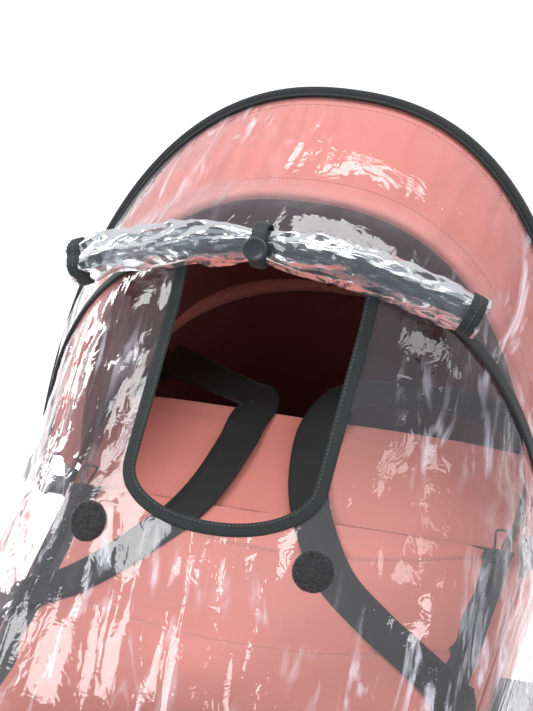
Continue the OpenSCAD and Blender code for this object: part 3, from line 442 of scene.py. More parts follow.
def film_material(name, base, haze=0.02, painted_reflections=0.42, scale=1.0, tint=(0.985, 0.985, 0.99), turn=0.0,
                  shine=1.5):
    """Clear soft PVC: see-through, glossy where it turns away, with painted reflections: pale streaky patches
    standing in for the lamps' reflections in its creases, and a pale painted sheen where it turns away.
    """
    m = Nodes(name)
    pos = m.coords("Object")
    uv = m.coords("UV", scale=(30.0 * scale, 6.0 * scale, 1.0), turn=turn)
    broad = m.add("TexNoise", {"Vector": uv, "Scale": 1.0, "Detail": 2.0, "Distortion": 0.8}).outputs[0]
    fine = m.add("TexNoise", {"Vector": pos, "Scale": 45.0 * scale, "Detail": 2.0,
                              "Distortion": 1.6}).outputs[0]
    ridge = m.maths("ABSOLUTE", m.maths("SUBTRACT", fine, 0.5))
    normal = m.bump(broad, 6.0, 0.6)
    normal = m.bump(ridge, 3.0, 0.3, normal)
    # Painted reflection: the streak and patch noises pick out pale streaky patches in the film colour, standing
    # in for the lamps' reflections in the creased film.
    reflection_streaks = m.add("TexNoise", {"Vector": uv, "Scale": 1.3, "Detail": 4.0, "Roughness": 0.6,
                                "Distortion": 1.5}).outputs[0]
    area = m.add("TexNoise", {"Vector": pos, "Scale": 7.0 * scale, "Detail": 2.0,
                              "Distortion": 0.5}).outputs[0]
    painted_reflection_mask = m.maths("MULTIPLY", m.ramp(reflection_streaks, 0.54, 0.66), m.ramp(area, 0.48, 0.62))
    # Painted sheen: a pale veil that thickens where the film turns away from view, on top of the faint even
    # haze.
    facing = m.add("LayerWeight", {"Blend": 0.4, "Normal": normal}).outputs["Facing"]
    painted_reflection_and_haze = m.maths("ADD", m.maths("MULTIPLY", painted_reflection_mask, painted_reflections),
                   m.maths("MULTIPLY", m.maths("POWER", facing, 3.0), 0.22))
    painted_reflection_and_haze = m.maths("MINIMUM", m.maths("ADD", painted_reflection_and_haze, haze), 0.85)
    skin = m.maths("MINIMUM", m.maths("MULTIPLY", m.add("Fresnel",
                                                        {"IOR": 1.5, "Normal": normal}).outputs[0], shine),
                                                        0.95)
    gloss = m.add("BsdfGlossy", {"Color": (1, 1, 1, 1), "Roughness": 0.06, "Normal": normal})
    clear = m.add("BsdfTransparent", {"Color": rgba(tint)})
    # This pale shader paints the reflections and sheen in the film colour, and gives the haze.
    pale = m.add("BsdfPrincipled", {"Base Color": rgba(base), "Roughness": 0.25, "Normal": normal})
    bare = m.add("MixShader", {0: skin, 1: clear.outputs[0], 2: gloss.outputs[0]})
    mixed = m.add("MixShader", {0: painted_reflection_and_haze, 1: bare.outputs[0], 2: pale.outputs[0]})
    m.tree.links.new(mixed.outputs[0], m.out.inputs[0])
    return m.material


def moulded(name, base, grain=0.25, rough=0.48, scale=700.0, metallic=0.0, brushed=False):
    """Moulded plastic or anodised metal: a fine grain, with worn, shinier patches."""
    m = Nodes(name)
    pos = m.coords("Object", scale=(1, 1, 1) if not brushed else (0.04, 1, 1))
    fine = m.add("TexNoise", {"Vector": pos, "Scale": scale, "Detail": 2.0}).outputs[0]
    wear = m.add("TexNoise", {"Vector": m.coords("Object"), "Scale": 22.0, "Detail": 4.0}).outputs[0]
    tint = m.mix(m.ramp(wear, 0.4, 0.75), rgba(base, 0.92), rgba(base, 1.25))
    gloss = m.add("MapRange", {0: wear, 1: 0.3, 2: 0.75, 3: rough + 0.07, 4: rough - 0.08}).outputs[0]
    m.surface(Base_Color=tint, Roughness=gloss, Metallic=metallic, Normal=m.bump(fine, 0.1, grain))
    return m.material


def rubber(name, base, pitch=7.0):
    """Tyre rubber: shallow slanted blocks round the tread, dusty between them."""
    m = Nodes(name)
    pos = m.coords("Object")
    blocks = m.add("TexVoronoi", {"Vector": pos, "Scale": 1 / (pitch * MM) * 0.8},
                   feature="DISTANCE_TO_EDGE").outputs[0]
    dust = m.add("TexNoise", {"Vector": pos, "Scale": 60.0, "Detail": 4.0}).outputs[0]
    groove = m.ramp(blocks, 0.0, 0.08)
    tint = m.mix(m.maths("MULTIPLY", m.ramp(dust, 0.45, 0.8), 0.4), rgba(base), rgba(base, 3.5))
    m.surface(Base_Color=tint, Roughness=0.82, Normal=m.bump(groove, 0.5, 0.5))
    return m.material


def foam(name, base, scale=420.0):
    """Soft foam or looped pile: small pits all over."""
    m = Nodes(name)
    pos = m.coords("Object")
    pits = m.add("TexVoronoi", {"Vector": pos, "Scale": scale}).outputs[0]
    tint = m.mix(pits, rgba(base, 1.6), rgba(base, 0.5))
    m.surface(Base_Color=tint, Roughness=0.93, Sheen_Weight=0.4, Normal=m.bump(pits, 0.5, 0.8))
    return m.material


def knit(name, base):
    """Knitted cover: rows of small loops on the UVs."""
    m = Nodes(name)
    uv = m.coords("UV", scale=(1.0, 1.6, 1.0))
    loops = m.add("TexVoronoi", {"Vector": uv, "Scale": 520.0}).outputs[0]
    tint = m.mix(loops, rgba(base, 1.05), rgba(base, 0.86))
    m.surface(Base_Color=tint, Roughness=0.95, Sheen_Weight=0.3, Normal=m.bump(loops, 0.3, 0.6))
    return m.material


def mesh_fabric(name, base):
    """Open basket mesh: round holes in a dark net, seen as dark pits."""
    m = Nodes(name)
    uv = m.coords("UV")
    holes = m.add("TexVoronoi", {"Vector": uv, "Scale": 260.0, "Randomness": 0.0}).outputs[0]
    tint = m.mix(m.ramp(holes, 0.25, 0.45), rgba(base, 0.25), rgba(base, 1.8))
    m.surface(Base_Color=tint, Roughness=0.8, Sheen_Weight=0.2, Normal=m.bump(holes, 0.5, 0.7))
    return m.material


_made = {}


def material(key):
    """The finish with that name, made the first time that it is asked for."""
    c = colours()
    makers = {
        "fabric": lambda: cloth("pink_cloth", c.fabric),
        # The lining's darker red is partly painted shade for the shaded inside.
        "lining": lambda: cloth("lining_cloth", c.lining, rough=0.92, sheen=0.15),
        "thread": lambda: cloth("thread", tuple(x * 0.82 for x in c.fabric), thread=0.3, mottle=0.03),
        "dark_thread": lambda: cloth("dark_thread", (0.06, 0.065, 0.07), thread=0.3, mottle=0.03),
        "binding": lambda: webbing_material("edge_binding", c.binding, rib=1.1, turn=1.5708, rough=0.7),
        "window_tape": lambda: webbing_material("window_tape", c.window_tape, rib=1.0, turn=1.5708,
                                                rough=0.7),
        "webbing": lambda: webbing_material("webbing", c.webbing),
        "elastic": lambda: webbing_material("elastic", c.binding, rib=1.5, turn=0.0),
        "zip_tape": lambda: webbing_material("zip_tape", c.zip_tape, rib=0.9, turn=0.0, rough=0.75),
        "zip_teeth": lambda: moulded("zip_teeth", (0.035, 0.037, 0.04), rough=0.3),
        "slider": lambda: moulded("slider_metal", (0.05, 0.052, 0.056), rough=0.28, metallic=0.8),
        "film": lambda: film_material("clear_film", c.film),
        # The rolled flap's film carries weaker painted reflections.
        "rolled_film": lambda: film_material("rolled_film", c.film, haze=0.03, painted_reflections=0.26, scale=0.9,
                                             shine=0.8,
                                             tint=(0.66, 0.71, 0.73), turn=1.2),
        "button": lambda: moulded("button_plastic", c.plastic, rough=0.4),
        "pile": lambda: foam("fastener_pile", (0.010, 0.010, 0.011), scale=700.0),
        "knit": lambda: knit("knitted_cover", c.knit),
        "tube": lambda: moulded("anodised_tube", c.tube, grain=0.15, rough=0.36, metallic=0.9, brushed=True),
        "steel": lambda: moulded("bright_steel", (0.55, 0.55, 0.56), rough=0.25, metallic=1.0),
        "plastic": lambda: moulded("black_plastic", c.plastic),
        "tyre": lambda: rubber("tyre_rubber", c.tyre),
        "wheel": lambda: moulded("wheel_plastic", c.wheel, rough=0.42),
        "grip": lambda: foam("foam_grip", (0.016, 0.016, 0.017)),
        "basket": lambda: mesh_fabric("basket_mesh", c.basket),
        "floor": lambda: moulded("studio_floor", c.floor, grain=0.0, rough=0.9),
    }
    if key not in _made:
        _made[key] = makers[key]()
    return _made[key]


# ---------------------------------------------------------------- bows and film, as formulas

def bow(a, b, n, tilt, g, off=0.0):
    """Points of the curve |x/a|^n + |t/b|^n = 1, where t runs from the hinge line in a plane tilted by
    tilt degrees,
    at angles g (radians) from the middle, and off millimetres along the plane's normal."""
    s, c = np.sin(g), np.cos(g)
    k = (np.abs(s) ** n + np.abs(c) ** n) ** (-1 / n)
    x, t, f = a * s * k, b * c * k, np.radians(tilt)
    return np.stack(np.broadcast_arrays(x, HINGE_Y + t * np.cos(f) - off * np.sin(f),
                                        HINGE_Z + t * np.sin(f) + off * np.cos(f)), -1)


def bow_end(b, n, clear=25.0):
    """The angle at which a bow comes within clear of the hinge line."""
    w = clear / b
    return np.arctan2((1 - w ** n) ** (1 / n), w)


def bow_angle(a, n, x):
    """The angle at which a bow stands x from the middle."""
    u = np.clip(np.abs(x) / a, 0, 0.99999)
    return np.sign(x) * np.arctan2(u, (1 - u ** n) ** (1 / n))


FILM_A, ARCH_IN = 230.3, 13.8          # half the film's width, and how far the arch draws it in
RIM_REST = 3.8                         # the film lies this far outside the rim bow
COVER_END = HINGE_Y - FOOT_Y + 5
RIM_N, LIP_N, ARCH_N, FOOT_N = 2.3, 2.4, 2.32, 4.5
ARCH_CLEAR = 60.0
CREASE_TILT = 148.5


def film_reach(tilt):
    """How far the film stands from the hinge line at each tilt."""
    s = sizes()
    lip, arch, foot = s.lip_reach, s.arch_reach, COVER_END
    xs = [s.rim_tilt, 62.5, s.lip_tilt, 80, s.arch_tilt - 2.2, s.arch_tilt, 100, 110, 120, 130, 140,
          CREASE_TILT,
          160, 170, 176, 177.8, 180]
    ys = [s.rim_reach + RIM_REST, (s.rim_reach + lip) / 2 + 1, lip + 7, lip + 3, arch - 0.6, arch, 0.897 * arch,
          0.836 * arch, 0.801 * arch, 0.791 * arch, 0.805 * arch, 0.534 * foot, 0.607 * foot, 0.703 * foot,
          0.93 * foot, 0.995 * foot, foot]
    return curve_through(tilt, xs, ys)


def film_width(tilt):
    """Half the film's width at the hinge line at each tilt: the arch draws it in."""
    return FILM_A - ARCH_IN * np.interp(tilt, [66, 82, 125, 155, 180], [0, 1, 1, 0.3, 0])


def film_power(tilt):
    """How square the film's outline is at each tilt."""
    s = sizes()
    return np.interp(tilt, [s.rim_tilt, s.lip_tilt, s.arch_tilt, 147, 180],
                     [RIM_N, 2.35, ARCH_N, 3.0, FOOT_N])


def film(tilt, g, off=0.0):
    """A point of the film, off millimetres outside its inner face."""
    return bow(film_width(tilt) + off, film_reach(tilt) + off, film_power(tilt), tilt, g)


def film_at_x(x, tilt, off=0.0):
    """The film's point that stands x from the middle."""
    return film(tilt, bow_angle(film_width(tilt) + off, film_power(tilt), x), off)


def film_normal(x, tilt):
    """The film's outward direction: across both ways along its surface."""
    e = 0.5
    du = film_at_x(x + e, tilt) - film_at_x(x - e, tilt)
    dv = film_at_x(x, tilt + 0.1) - film_at_x(x, tilt - 0.1)
    return unit(np.cross(dv, du))


def wrinkled(tilt, g, seed, calm):
    """How far the film strays: long folds that run down its slope, with finer cross creases, stilled where
    calm is 0."""
    folds = creases(g * 5.2 + 0.12 * tilt / 10, tilt / 26, seed) + 0.45 * noise(g * 15 + 3, tilt / 11,
        seed + 3)
    fine = 0.25 * creases(g * 12 + tilt / 15, tilt / 7 - g * 3, seed + 5)
    return sizes().wrinkle * calm * (0.7 * folds + fine - 0.3)


def slope_grid(tilts, cols):
    """Tilts and angles of a film panel's grid, from one side to the other."""
    end = bow_end(film_reach(tilts), film_power(tilts))
    return tilts[:, None] * np.ones(cols), end[:, None] * np.linspace(-1, 1, cols)


WINDOW_LOW, WINDOW_DROP, WINDOW_POWER = 130.0, 11.0, 2.105


def window_middle(tilt):
    """Where the window's middle lies at each tilt: it drifts to the left on its way down."""
    return 2 - 0.28 * (tilt - sizes().arch_tilt)


def window_half(tilt):
    """Half the window's width: straight sides as far as WINDOW_LOW, then |x/w|^p + |t/drop|^p = 1."""
    t = np.clip((tilt - WINDOW_LOW) / WINDOW_DROP, 0, 1)
    return sizes().window_half * (1 - t ** WINDOW_POWER) ** (1 / WINDOW_POWER)


def window_line(count=120):
    """The window's outline as (x, tilt): down one side, round a squared-off bottom and up the other side."""
    g = np.linspace(0, np.pi, 61)
    top = sizes().arch_tilt + 0.4
    low = WINDOW_LOW + WINDOW_DROP * np.sin(g) ** (2 / WINDOW_POWER)
    tilt = np.concatenate([np.linspace(top, WINDOW_LOW, 30, endpoint=False), low,
                           np.linspace(WINDOW_LOW, top, 31)[1:]])
    side = np.concatenate([-np.ones(30), -np.sign(np.cos(g)), np.ones(30)])
    line = np.stack([window_middle(tilt) + side * window_half(tilt), tilt], 1)
    return even(line * [1, 5.0], count) / [1, 5.0]


# ---------------------------------------------------------------- pieces

def make_hood():
    """Hood: outer cloth, front band with a rolled lip, lining and their seams."""
    s = sizes()
    g = np.linspace(-1, 1, 141)

    def row(kind, rise, off):
        """Points along one bow, rise outside it and off along its plane's normal."""
        a, b, n, tilt = {"rim": (HALF_W + 27, s.rim_reach, RIM_N, s.rim_tilt),
                         "lip": (HALF_W + 7, s.lip_reach, LIP_N, s.lip_tilt),
                         "base": (HALF_W + 8, HEAD_Y - HINGE_Y + 3, 4.0, 0.0)}[kind]
        return bow(a + rise, b + rise, n, tilt, bow_end(b, n) * g, off)

    def between(p, q, steps, swell=0.0, sag=0.0):
        """Rows p (1 - t) + q t, pushed out by swell 4 t (1 - t) and in by sag sin(pi t)."""
        out = []
        for t in steps:
            m = p * (1 - t) + q * t
            away = unit((m - [0, HINGE_Y, HINGE_Z]) * [0, 1, 1])
            out.append(m + away * ((swell * 4 * t * (1 - t) - sag * np.sin(np.pi * t))
                                   * np.cos(1.396 * g))[:, None])
        return out

    lerp = np.linspace(0, 1, 12)
    band = [row("rim", 1.2, -5), row("rim", 1.4, 0)] + between(row("rim", 1.2, 5), row("lip", 1.6, -6),
                                                               lerp, sag=1.5)
    band += [row("lip", 1.8, 0), row("lip", 1.6, 5)]
    for turn in np.radians([35, 75, 115, 155, 180]):
        band.append(row("lip", -2.4 + 4.0 * np.cos(turn), 5 + 4.0 * np.sin(turn)))
    band += [row("lip", -6.0, 0), row("lip", -6.2, -10), row("lip", -6.2, -22)]
    grid = np.stack(band)
    soft = 0.8 * noise(g[None] * 9 + 2, np.arange(len(grid))[:, None] * 0.35, 31)
    grid[4:13] += unit((grid[4:13] - [0, HINGE_Y, HINGE_Z]) * [0, 1, 1]) * soft[4:13, :, None]
    front = surface("hood_front_band", grid, material("fabric"), levels=1)
    place(row("rim", 0, 0)[70])
    place(row("lip", 0, 0)[70])
    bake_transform(front)
    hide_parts("hood_front_fabric")
    lay_sheet(front)

    rear_rows = between(row("base", 2, -6), row("rim", 1.2, -5), np.linspace(0, 1, 34), swell=34)
    rear = np.stack(rear_rows)
    drape = 1.1 * noise(g[None] * 6 + 11, np.arange(34)[:, None] * 0.18,
                        17) * np.sin(np.linspace(0, np.pi, 34))[:, None]
    rear += unit((rear - [0, HINGE_Y, HINGE_Z]) * [0.5, 1, 1]) * drape[..., None]
    back = surface("hood_rear_cloth", rear, material("fabric"), thick=1.2, levels=1)
    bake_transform(back)
    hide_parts("hood_rear_fabric")
    lay_sheet(back)

    inner = between(row("base", -14, -4), row("rim", -6, -8), np.linspace(0, 1, 26), swell=30)
    inner += between(row("rim", -6, 8), row("lip", -7.5, -18), np.linspace(0, 1, 9))
    inside = np.stack(inner)
    lining = surface("hood_lining", inside[::-1], material("lining"), thick=0.8, levels=1)
    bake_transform(lining)
    lay_sheet(lining)

    seam_rows = []
    for col in (57, 83):
        line = inside[:30, col]
        away = unit((line - [0, HINGE_Y, HINGE_Z]) * [0, -1, -1])
        path = even(line + away * 1.4, 60)
        seam = sweep(f"hood_lining_seam_{'left' if col < 70 else 'right'}", path,
                     np.tile([1.0, 0, 0], (60, 1)),
                     tape(5.0, 1.6), material("lining"))
        seam_rows.append(seam)
    for col in (46, 94):
        line = rear[1:, col]
        away = unit((line - [0, HINGE_Y, HINGE_Z]) * [0.4, 1, 1])
        path = even(line + away * 1.2, 80)
        seam_rows.append(sweep(f"hood_rear_seam_{'left' if col < 70 else 'right'}", path,
                               np.tile([1.0, 0, 0], (80, 1)),
                               tape(4.0, 1.4), material("fabric")))
    away = np.stack([row("rim", 3, 9) - row("rim", 0, 9), row("lip", 3, -13) - row("lip", 0, -13)])
    rows = [("band_rim_stitches", band[3] + 0.2, away[0]), ("band_lip_stitches", grid[12], away[1])]
    for name, path, normal in rows:
        seam_rows.append(stitch_row(name, path, normal, material("thread")))
    for piece in seam_rows[:4]:
        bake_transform(piece)
    for piece in seam_rows[4:]:
        place(row("rim", 0, 0)[70])
        place(row("lip", 0, 0)[70])
        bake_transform(piece)


def bound_edge(name, path, across, normal_side, width, tape_key, body, thick=2.2):
    """A fabric tape folded over an edge, with its row of stitches near one side."""
    piece = sweep(name, path, across, tape(width, thick), material(tape_key), levels=0)
    d = directions(path)
    a = unit(across - d * np.sum(across * d, -1, keepdims=True))
    n = np.cross(d, a)
    row = stitch_row(name + "_stitches", path + a * width * 0.30 * normal_side + n * thick * 0.5, n,
                     material("dark_thread"), lift=0.1)
    for p in (piece, row):
        if isinstance(body, str):
            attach(p, body)
        else:
            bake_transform(p)
    return piece


def front_blend():
    """Start and end of the stretch of film that turns with the arch."""
    s = sizes()
    return place(film(CREASE_TILT, 0.0)), place(film(s.arch_tilt, 0.0))


def make_rain_cover():
    """Rain cover: film over the hood, film in front with its window, skirt, bound edges and fastener dots."""
    s = sizes()
    tilts = np.linspace(s.rim_tilt - 0.8, s.arch_tilt, 90)
    tt, gg = slope_grid(np.maximum(tilts, s.rim_tilt), 150)
    tt = tilts[:, None] * np.ones(150)
    calm = fade(tt, s.rim_tilt + 1.5, s.rim_tilt + 7) * (1 - fade(tt, s.arch_tilt - 5, s.arch_tilt - 1))
    calm *= 1 - fade(np.abs(gg), 1.1, 1.5)
    over = film(np.maximum(tt, s.rim_tilt), gg, 0.5 + np.maximum(wrinkled(tt, gg, s.seed, calm), -1.5 * calm))
    hood = surface("rain_film_hood", over, material("film"))
    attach(hood, "hood_rim")
    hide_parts("rain_hood_film")
    lay_sheet(hood)

    start, end = front_blend()
    tilts = np.concatenate([np.linspace(s.arch_tilt + 0.1, CREASE_TILT, 74, endpoint=False),
                            np.linspace(CREASE_TILT, 176, 40, endpoint=False), np.linspace(176, 180, 8)])
    cols = 190
    tt, gg = slope_grid(tilts, cols)
    calm = fade(tt, s.arch_tilt + 1, s.arch_tilt + 8) * (1 - fade(tt, 173, 178))
    xs = film(tt, gg)[..., 0] - window_middle(tt)
    calm *= 1 - 0.9 * bump(np.abs(xs), window_half(tt), 14) * (tt < CREASE_TILT)
    rise = 0.5 + np.maximum(1.5 * wrinkled(tt, gg, s.seed + 20, calm), -1.2 * calm)
    p = film(tt, gg, rise)
    mid_x = (xs[:-1, :-1] + xs[1:, 1:]) / 2
    mid_t = (tt[:-1, :-1] + tt[1:, 1:]) / 2
    hole = np.abs(mid_x) < window_half(mid_t)
    front = surface("rain_film_front", p, material("film"), keep=~hole)
    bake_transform(front)
    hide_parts("rain_front_film")
    lay_sheet(front)

    line = window_line(200)
    path = film_at_x(line[:, 0], line[:, 1], 2.4)
    n = film_normal(line[:, 0], line[:, 1])
    window = bound_edge("window_tape", path, np.cross(n, directions(path)), 1.0, s.binding - 3,
                        "window_tape", (start, end), thick=1.8)
    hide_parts("window_binding")

    g = np.linspace(-1, 1, 161)
    rim = bow(FILM_A + 1.6, s.rim_reach + RIM_REST + 1.6, RIM_N, s.rim_tilt, bow_end(s.rim_reach, RIM_N) * g)
    tilt = np.radians(s.rim_tilt)
    side = np.tile([0, -math.sin(tilt), math.cos(tilt)], (161, 1))
    piece = bound_edge("rim_tape", rim, side, 1.0, s.binding, "binding", "hood_rim", thick=8.4)
    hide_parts("rain_rim_binding")
    cord = sweep("rim_piping", rim + side * 8.6 - 3.0 * unit(rim - [0, HINGE_Y, HINGE_Z]), side,
                 ring(1.3, 10), material("binding"))
    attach(cord, "hood_rim")

    arch = bow(film_width(s.arch_tilt) + 2.2, s.arch_reach + 2.2, ARCH_N, s.arch_tilt,
               bow_end(s.arch_reach, ARCH_N, ARCH_CLEAR) * g)
    tilt = np.radians(s.arch_tilt)
    side = np.tile([0, -math.sin(tilt), math.cos(tilt)], (161, 1))
    piece = bound_edge("arch_tape", arch, side, 1.0, s.binding, "binding", "hood_rim", thick=3.4)
    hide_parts("rain_arch_binding")

    rows, cols = 18, 190
    t = np.linspace(0, 1, rows)[:, None]
    gg = np.linspace(-1, 1, cols)[None] * bow_end(COVER_END, FOOT_N)
    flare = 5 * t + 0.5 + 1.4 * t * noise(gg * 14, t * 1.5, 51)
    q = bow(FILM_A + flare, COVER_END + flare, FOOT_N, 180.0, gg)
    q[..., 2] = HINGE_Z - 0.3 - 83 * t
    skirt = surface("rain_film_skirt", q, material("film"))
    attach(skirt, "chassis")
    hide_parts("rain_skirt")
    lay_sheet(skirt)
    hem = q[-1] + [0, 0, 0.2]
    out = unit((hem - [0, HINGE_Y, 0]) * [1, 1, 0])
    hem_path = even(hem + out * 1.6, 200)
    piece = bound_edge("skirt_hem_tape", hem_path, np.tile(UP, (200, 1)), -1.0, s.binding, "binding",
                       "chassis", thick=2.2)
    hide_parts("rain_hem_binding")
    make_dots()


def make_dots():
    """Fastener dots: domed discs of looped pile, sewn round their edges to the film."""
    s = sizes()
    pieces = []
    for name, x0, tilt0 in (("left", -115.3, 143.7), ("right", 75.6, 146.1)):
        centre = film_at_x(np.array(x0), np.array(tilt0), 1.0)
        n = film_normal(np.array(x0), np.array(tilt0))
        u = unit(np.cross(n, [0, 1.0, 0.2]))
        v = np.cross(n, u)
        r = np.linspace(0.02, 1, 14)[:, None]
        g = np.linspace(0, 2 * np.pi, 64, endpoint=False)[None]
        dome = 1.6 + 1.5 * (1 - r ** 6) + 0.5 * noise(r * np.cos(g) * 16 + 20, r * np.sin(g) * 16 + 20, 71)
        radius = s.dot * r * (1 + 0.012 * noise(g * 9, r * 4, 73))
        p = centre + radius[..., None] * (np.cos(g)[..., None] * u + np.sin(g)[..., None] * v) + dome[...,
            None] * n
        edge = p[-1:] - n * 1.7
        dot = surface(f"fastener_dot_{name}", np.concatenate([p, edge]), material("pile"), wrap=True,
                      caps=True)
        rnd = np.random.RandomState(81)
        k = 900
        rr, a = s.dot * 0.96 * np.sqrt(rnd.rand(k)), rnd.rand(k) * 2 * np.pi
        at = centre + (rr * np.cos(a))[:, None] * u + (rr * np.sin(a))[:, None] * v + 3.2 * n
        x = unit(rnd.randn(k, 3))
        x = unit(x - n * (x @ n)[:, None] * 0.5)
        y = unit(np.cross(n, x))
        pile = copies(f"fastener_pile_{name}", at, x, y, np.cross(x, y), (1.1, 0.22, 0.35), GRAIN_V,
                      GRAIN_F, material("pile"))
        pieces += [dot, pile]
    for piece in pieces:
        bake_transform(piece)
    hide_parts("fastener_dots")


ROLL_HALF, ROLL_SAG, LOOP_X = 170.0, 44.0, -10.0


def roll_centre(x):
    """Middle of the rolled flap: it lies in front of the arch and sags from its middle by sag (x /
    half)^2."""
    s = sizes()
    c, d = math.cos(math.radians(s.arch_tilt)), math.sin(math.radians(s.arch_tilt))
    t = s.arch_reach + s.roll - 2.5 - ROLL_SAG * (x / ROLL_HALF) ** 2
    off = s.roll + 1
    return np.stack(np.broadcast_arrays(x, HINGE_Y + t * c - off * d, HINGE_Z + t * d + off * c), -1)


def make_roll():
    """Rolled window flap: a spiral of film drawn in at its loop, with bound ends, loop and button."""
    s = sizes()
    xs = np.linspace(-ROLL_HALF, ROLL_HALF, 230)
    c = roll_centre(xs)
    d = directions(c)
    tilt = np.radians(s.arch_tilt)
    a = np.array([0, -math.sin(tilt), math.cos(tilt)])
    a = unit(a - d * np.sum(a * d, -1, keepdims=True))
    n = np.cross(d, a)
    pinch = bump(xs, LOOP_X, 24)[:, None]
    turns = np.linspace(0, 1, 90)[None]
    g = (0.35 + turns * 1.8) * 2 * np.pi
    x2 = xs[:, None]
    fold = (0.15 * creases(g * 1.5 + x2 / 70, x2 / 38 + g * 0.7, 91) + 0.10 * noise(g * 3.1 + x2 / 30,
        x2 / 12, 95)
            + 0.05 * noise(g * 7, x2 / 6, 97))
    fold = fold * (1 - 0.6 * pinch) - 0.10
    r = s.roll * (1 - 0.26 * pinch) * np.clip((0.45 + 0.55 * turns) * (1 + fold), 0.2, 1.02)
    turned = g + 0.25 * np.sin(x2 / 60)
    p = c[:, None] + r[..., None] * (a[:, None] * np.cos(turned)[..., None] + n[:,
        None] * np.sin(turned)[..., None])
    roll = surface("rolled_flap", p, material("rolled_film"))
    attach(roll, "hood_rim")
    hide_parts("window_roll")
    lay_sheet(roll)
    for name, cols in (("left", slice(0, 12)), ("right", slice(218, 230))):
        path = p[cols].mean(0)[18:]
        out = unit(path - c[cols].mean(0))
        edge = sweep(f"flap_edge_{name}", path, np.tile(d[cols].mean(0), (len(path), 1)), tape(13.0, 2.0, 14),
                     material("binding"))
        row = stitch_row(f"flap_edge_{name}_stitches", path[30:] + out[30:] * 1.1, out[30:],
                         material("dark_thread"), lift=0.0)
        for piece in (edge, row):
            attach(piece, "hood_rim")
    make_loop()


def make_loop():
    """Elastic loop round the roll: a ribbed band, with a dished button on its front."""
    s = sizes()
    c = roll_centre(np.array(LOOP_X))
    r0 = s.roll - 4 + 0.8
    g = np.linspace(0, 2 * np.pi, 160, endpoint=False)
    ribs = 0.28 * np.abs(np.sin(g * 26))
    w = np.linspace(-1, 1, 13)
    edge = 0.75 * (1 - np.abs(w) ** 5)
    outer = np.stack([np.stack([np.full_like(g, x * 6), (r0 + 0.75 + e + ribs * (e > 0.1)) * np.cos(g),
                                (r0 + 0.75 + e + ribs * (e > 0.1)) * np.sin(g)], -1) for x,
                                e in zip(w, edge)])
    inner = np.stack([np.stack([np.full_like(g, x * 6), r0 * np.cos(g), r0 * np.sin(g)], -1) for x in (1,
        -1)])
    band = np.concatenate([outer, inner, outer[:1]]) + c
    loop = surface("elastic_loop", band[::-1], material("elastic"), wrap=True)
    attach(loop, "hood_rim")
    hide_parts("roll_loop")
    face = math.radians(152.0)
    n = np.array([0, math.cos(face), math.sin(face)])
    u, v = np.array([1.0, 0, 0]), np.cross(n, [1.0, 0, 0])
    rr = np.array([0.02, 0.2, 0.45, 0.66, 0.74, 0.82, 0.92, 0.98, 1.0, 1.0, 0.96, 0.5, 0.3, 0.3])
    hh = np.array([3.0, 3.0, 3.05, 3.2, 3.9, 4.15, 3.9, 3.3, 2.6, 1.6, 1.1, 0.9, 0.6, 0.1])
    g = np.linspace(0, 2 * np.pi, 56, endpoint=False)
    p = (s.button * rr[:, None, None] * (np.cos(g)[None, :, None] * u + np.sin(g)[None, :, None] * v)
         + hh[:, None, None] * n) + c + n * (r0 + 1.7)
    button = surface("loop_button", p, material("button"), wrap=True, caps=True)
    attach(button, "hood_rim")
    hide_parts("roll_button")


def cot_outline(inset, count=None):
    """The carrycot's plan: a rectangle with round corners, set in from its outline, as a closed row of
    points."""
    r = 150.0 - inset
    x, y0, y1 = HALF_W - 150.0, FOOT_Y + 150.0, HEAD_Y - 150.0
    arcs = []
    for cx, cy, turn in ((x, y0, -90), (x, y1, 0), (-x, y1, 90), (-x, y0, 180)):
        g = np.radians(turn + np.linspace(0, 90, 22))
        arcs.append(np.stack([cx + r * np.cos(g), cy + r * np.sin(g)], -1))
    loop = np.concatenate(arcs + [arcs[0][:1]])
    return loop if count is None else even(loop, count + 1)[:-1]


